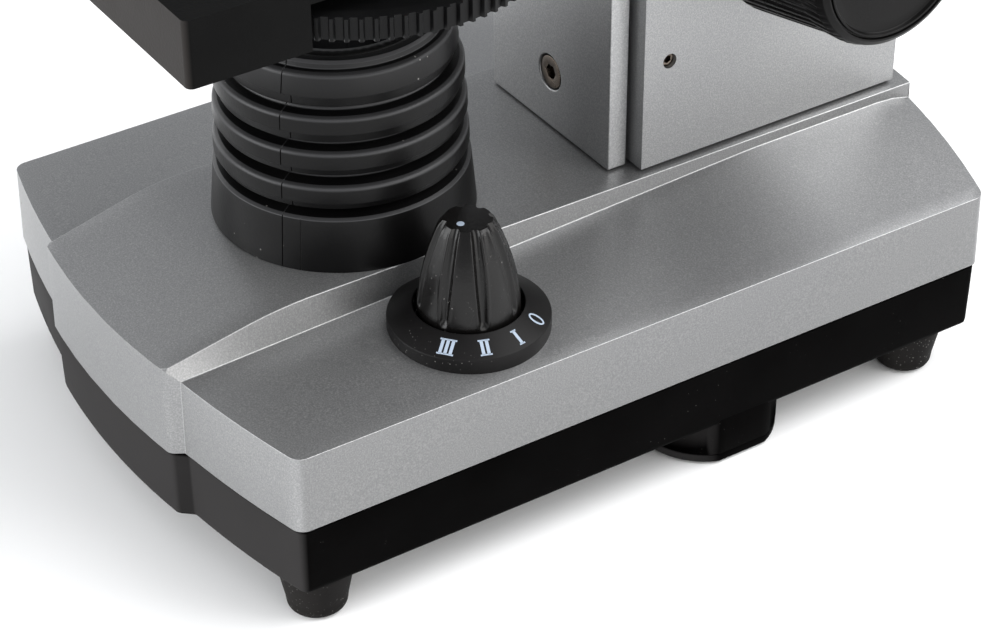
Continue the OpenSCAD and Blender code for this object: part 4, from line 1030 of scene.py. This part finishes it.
# Nodes whose large faces have openings keep split edges; the others get a small rounding
SPLIT = ("arm", "arm_back_cover", "stage", "diaphragm_wheel")
ROUNDING = {"stage_bracket": (0.5, 2), "carriage_screws": (0.25, 2), "gib_screws": (0.15, 2)}


def finish_node(name):
    o = nodes[name]
    o.data.materials.clear()
    o.data.materials.append(OWN_MATERIAL.get(name) or BY_SLOT[slot_of[name]])
    o.modifiers.new("weld", "WELD").merge_threshold = 0.002 * MM
    if name in SPLIT:
        o.modifiers.new("crisp", "EDGE_SPLIT").split_angle = math.radians(30)
    else:
        width, segments = ROUNDING.get(name, (0.2, 1))
        bevel(o, width, segments, 32)
    for p in o.data.polygons:
        p.use_smooth = True


for node in nodes:
    if not nodes[node].hide_render and "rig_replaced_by" not in nodes[node]:
        finish_node(node)


# ------------------------------------------------------------------ floor and light
def floor():
    half, z = 6.0, -0.0002
    m, _, _ = shader("floor_white", (0.95, 0.95, 0.95), 0.9)
    me = bpy.data.meshes.new("floor")
    me.from_pydata([(-half, -half, z), (half, -half, z), (half, half, z), (-half, half, z)], [],
                   [(0, 1, 2, 3)])
    o = bpy.data.objects.new("floor", me)
    scene.collection.objects.link(o)
    me.materials.append(m)


def area(name, loc, target_z, width, height, power, color=(1, 1, 1)):
    """A soft panel of light that looks at a point above the middle of the base."""
    d = bpy.data.lights.new(name, "AREA")
    d.shape = "RECTANGLE"
    d.size, d.size_y = width, height
    d.energy = power
    d.color = color
    o = bpy.data.objects.new(name, d)
    scene.collection.objects.link(o)
    o.location = loc
    o.rotation_mode = "QUATERNION"
    o.rotation_quaternion = (Vector((0, 0, target_z)) - Vector(loc)).to_track_quat("-Z", "Y")


floor()
area("soft_front", (-0.55, -2.1, 0.80), 0.08, 2.2, 1.5, 50, (0.985, 0.995, 1))
area("soft_right", (2.2, 0.40, 0.75), 0.08, 2.4, 1.4, 27, (1, 0.985, 0.96))
area("soft_top", (0.55, 0.95, 1.25), 0.1, 1.5, 1.5, 34)
area("soft_left", (-2.0, -0.6, 0.75), 0.08, 1.2, 1.0, 7)
world = bpy.data.worlds.new("studio")
scene.world = world
world.use_nodes = True
bg = world.node_tree.nodes["Background"]
bg.inputs["Color"].default_value = (0.95, 0.97, 1.0, 1)
bg.inputs["Strength"].default_value = 0.55
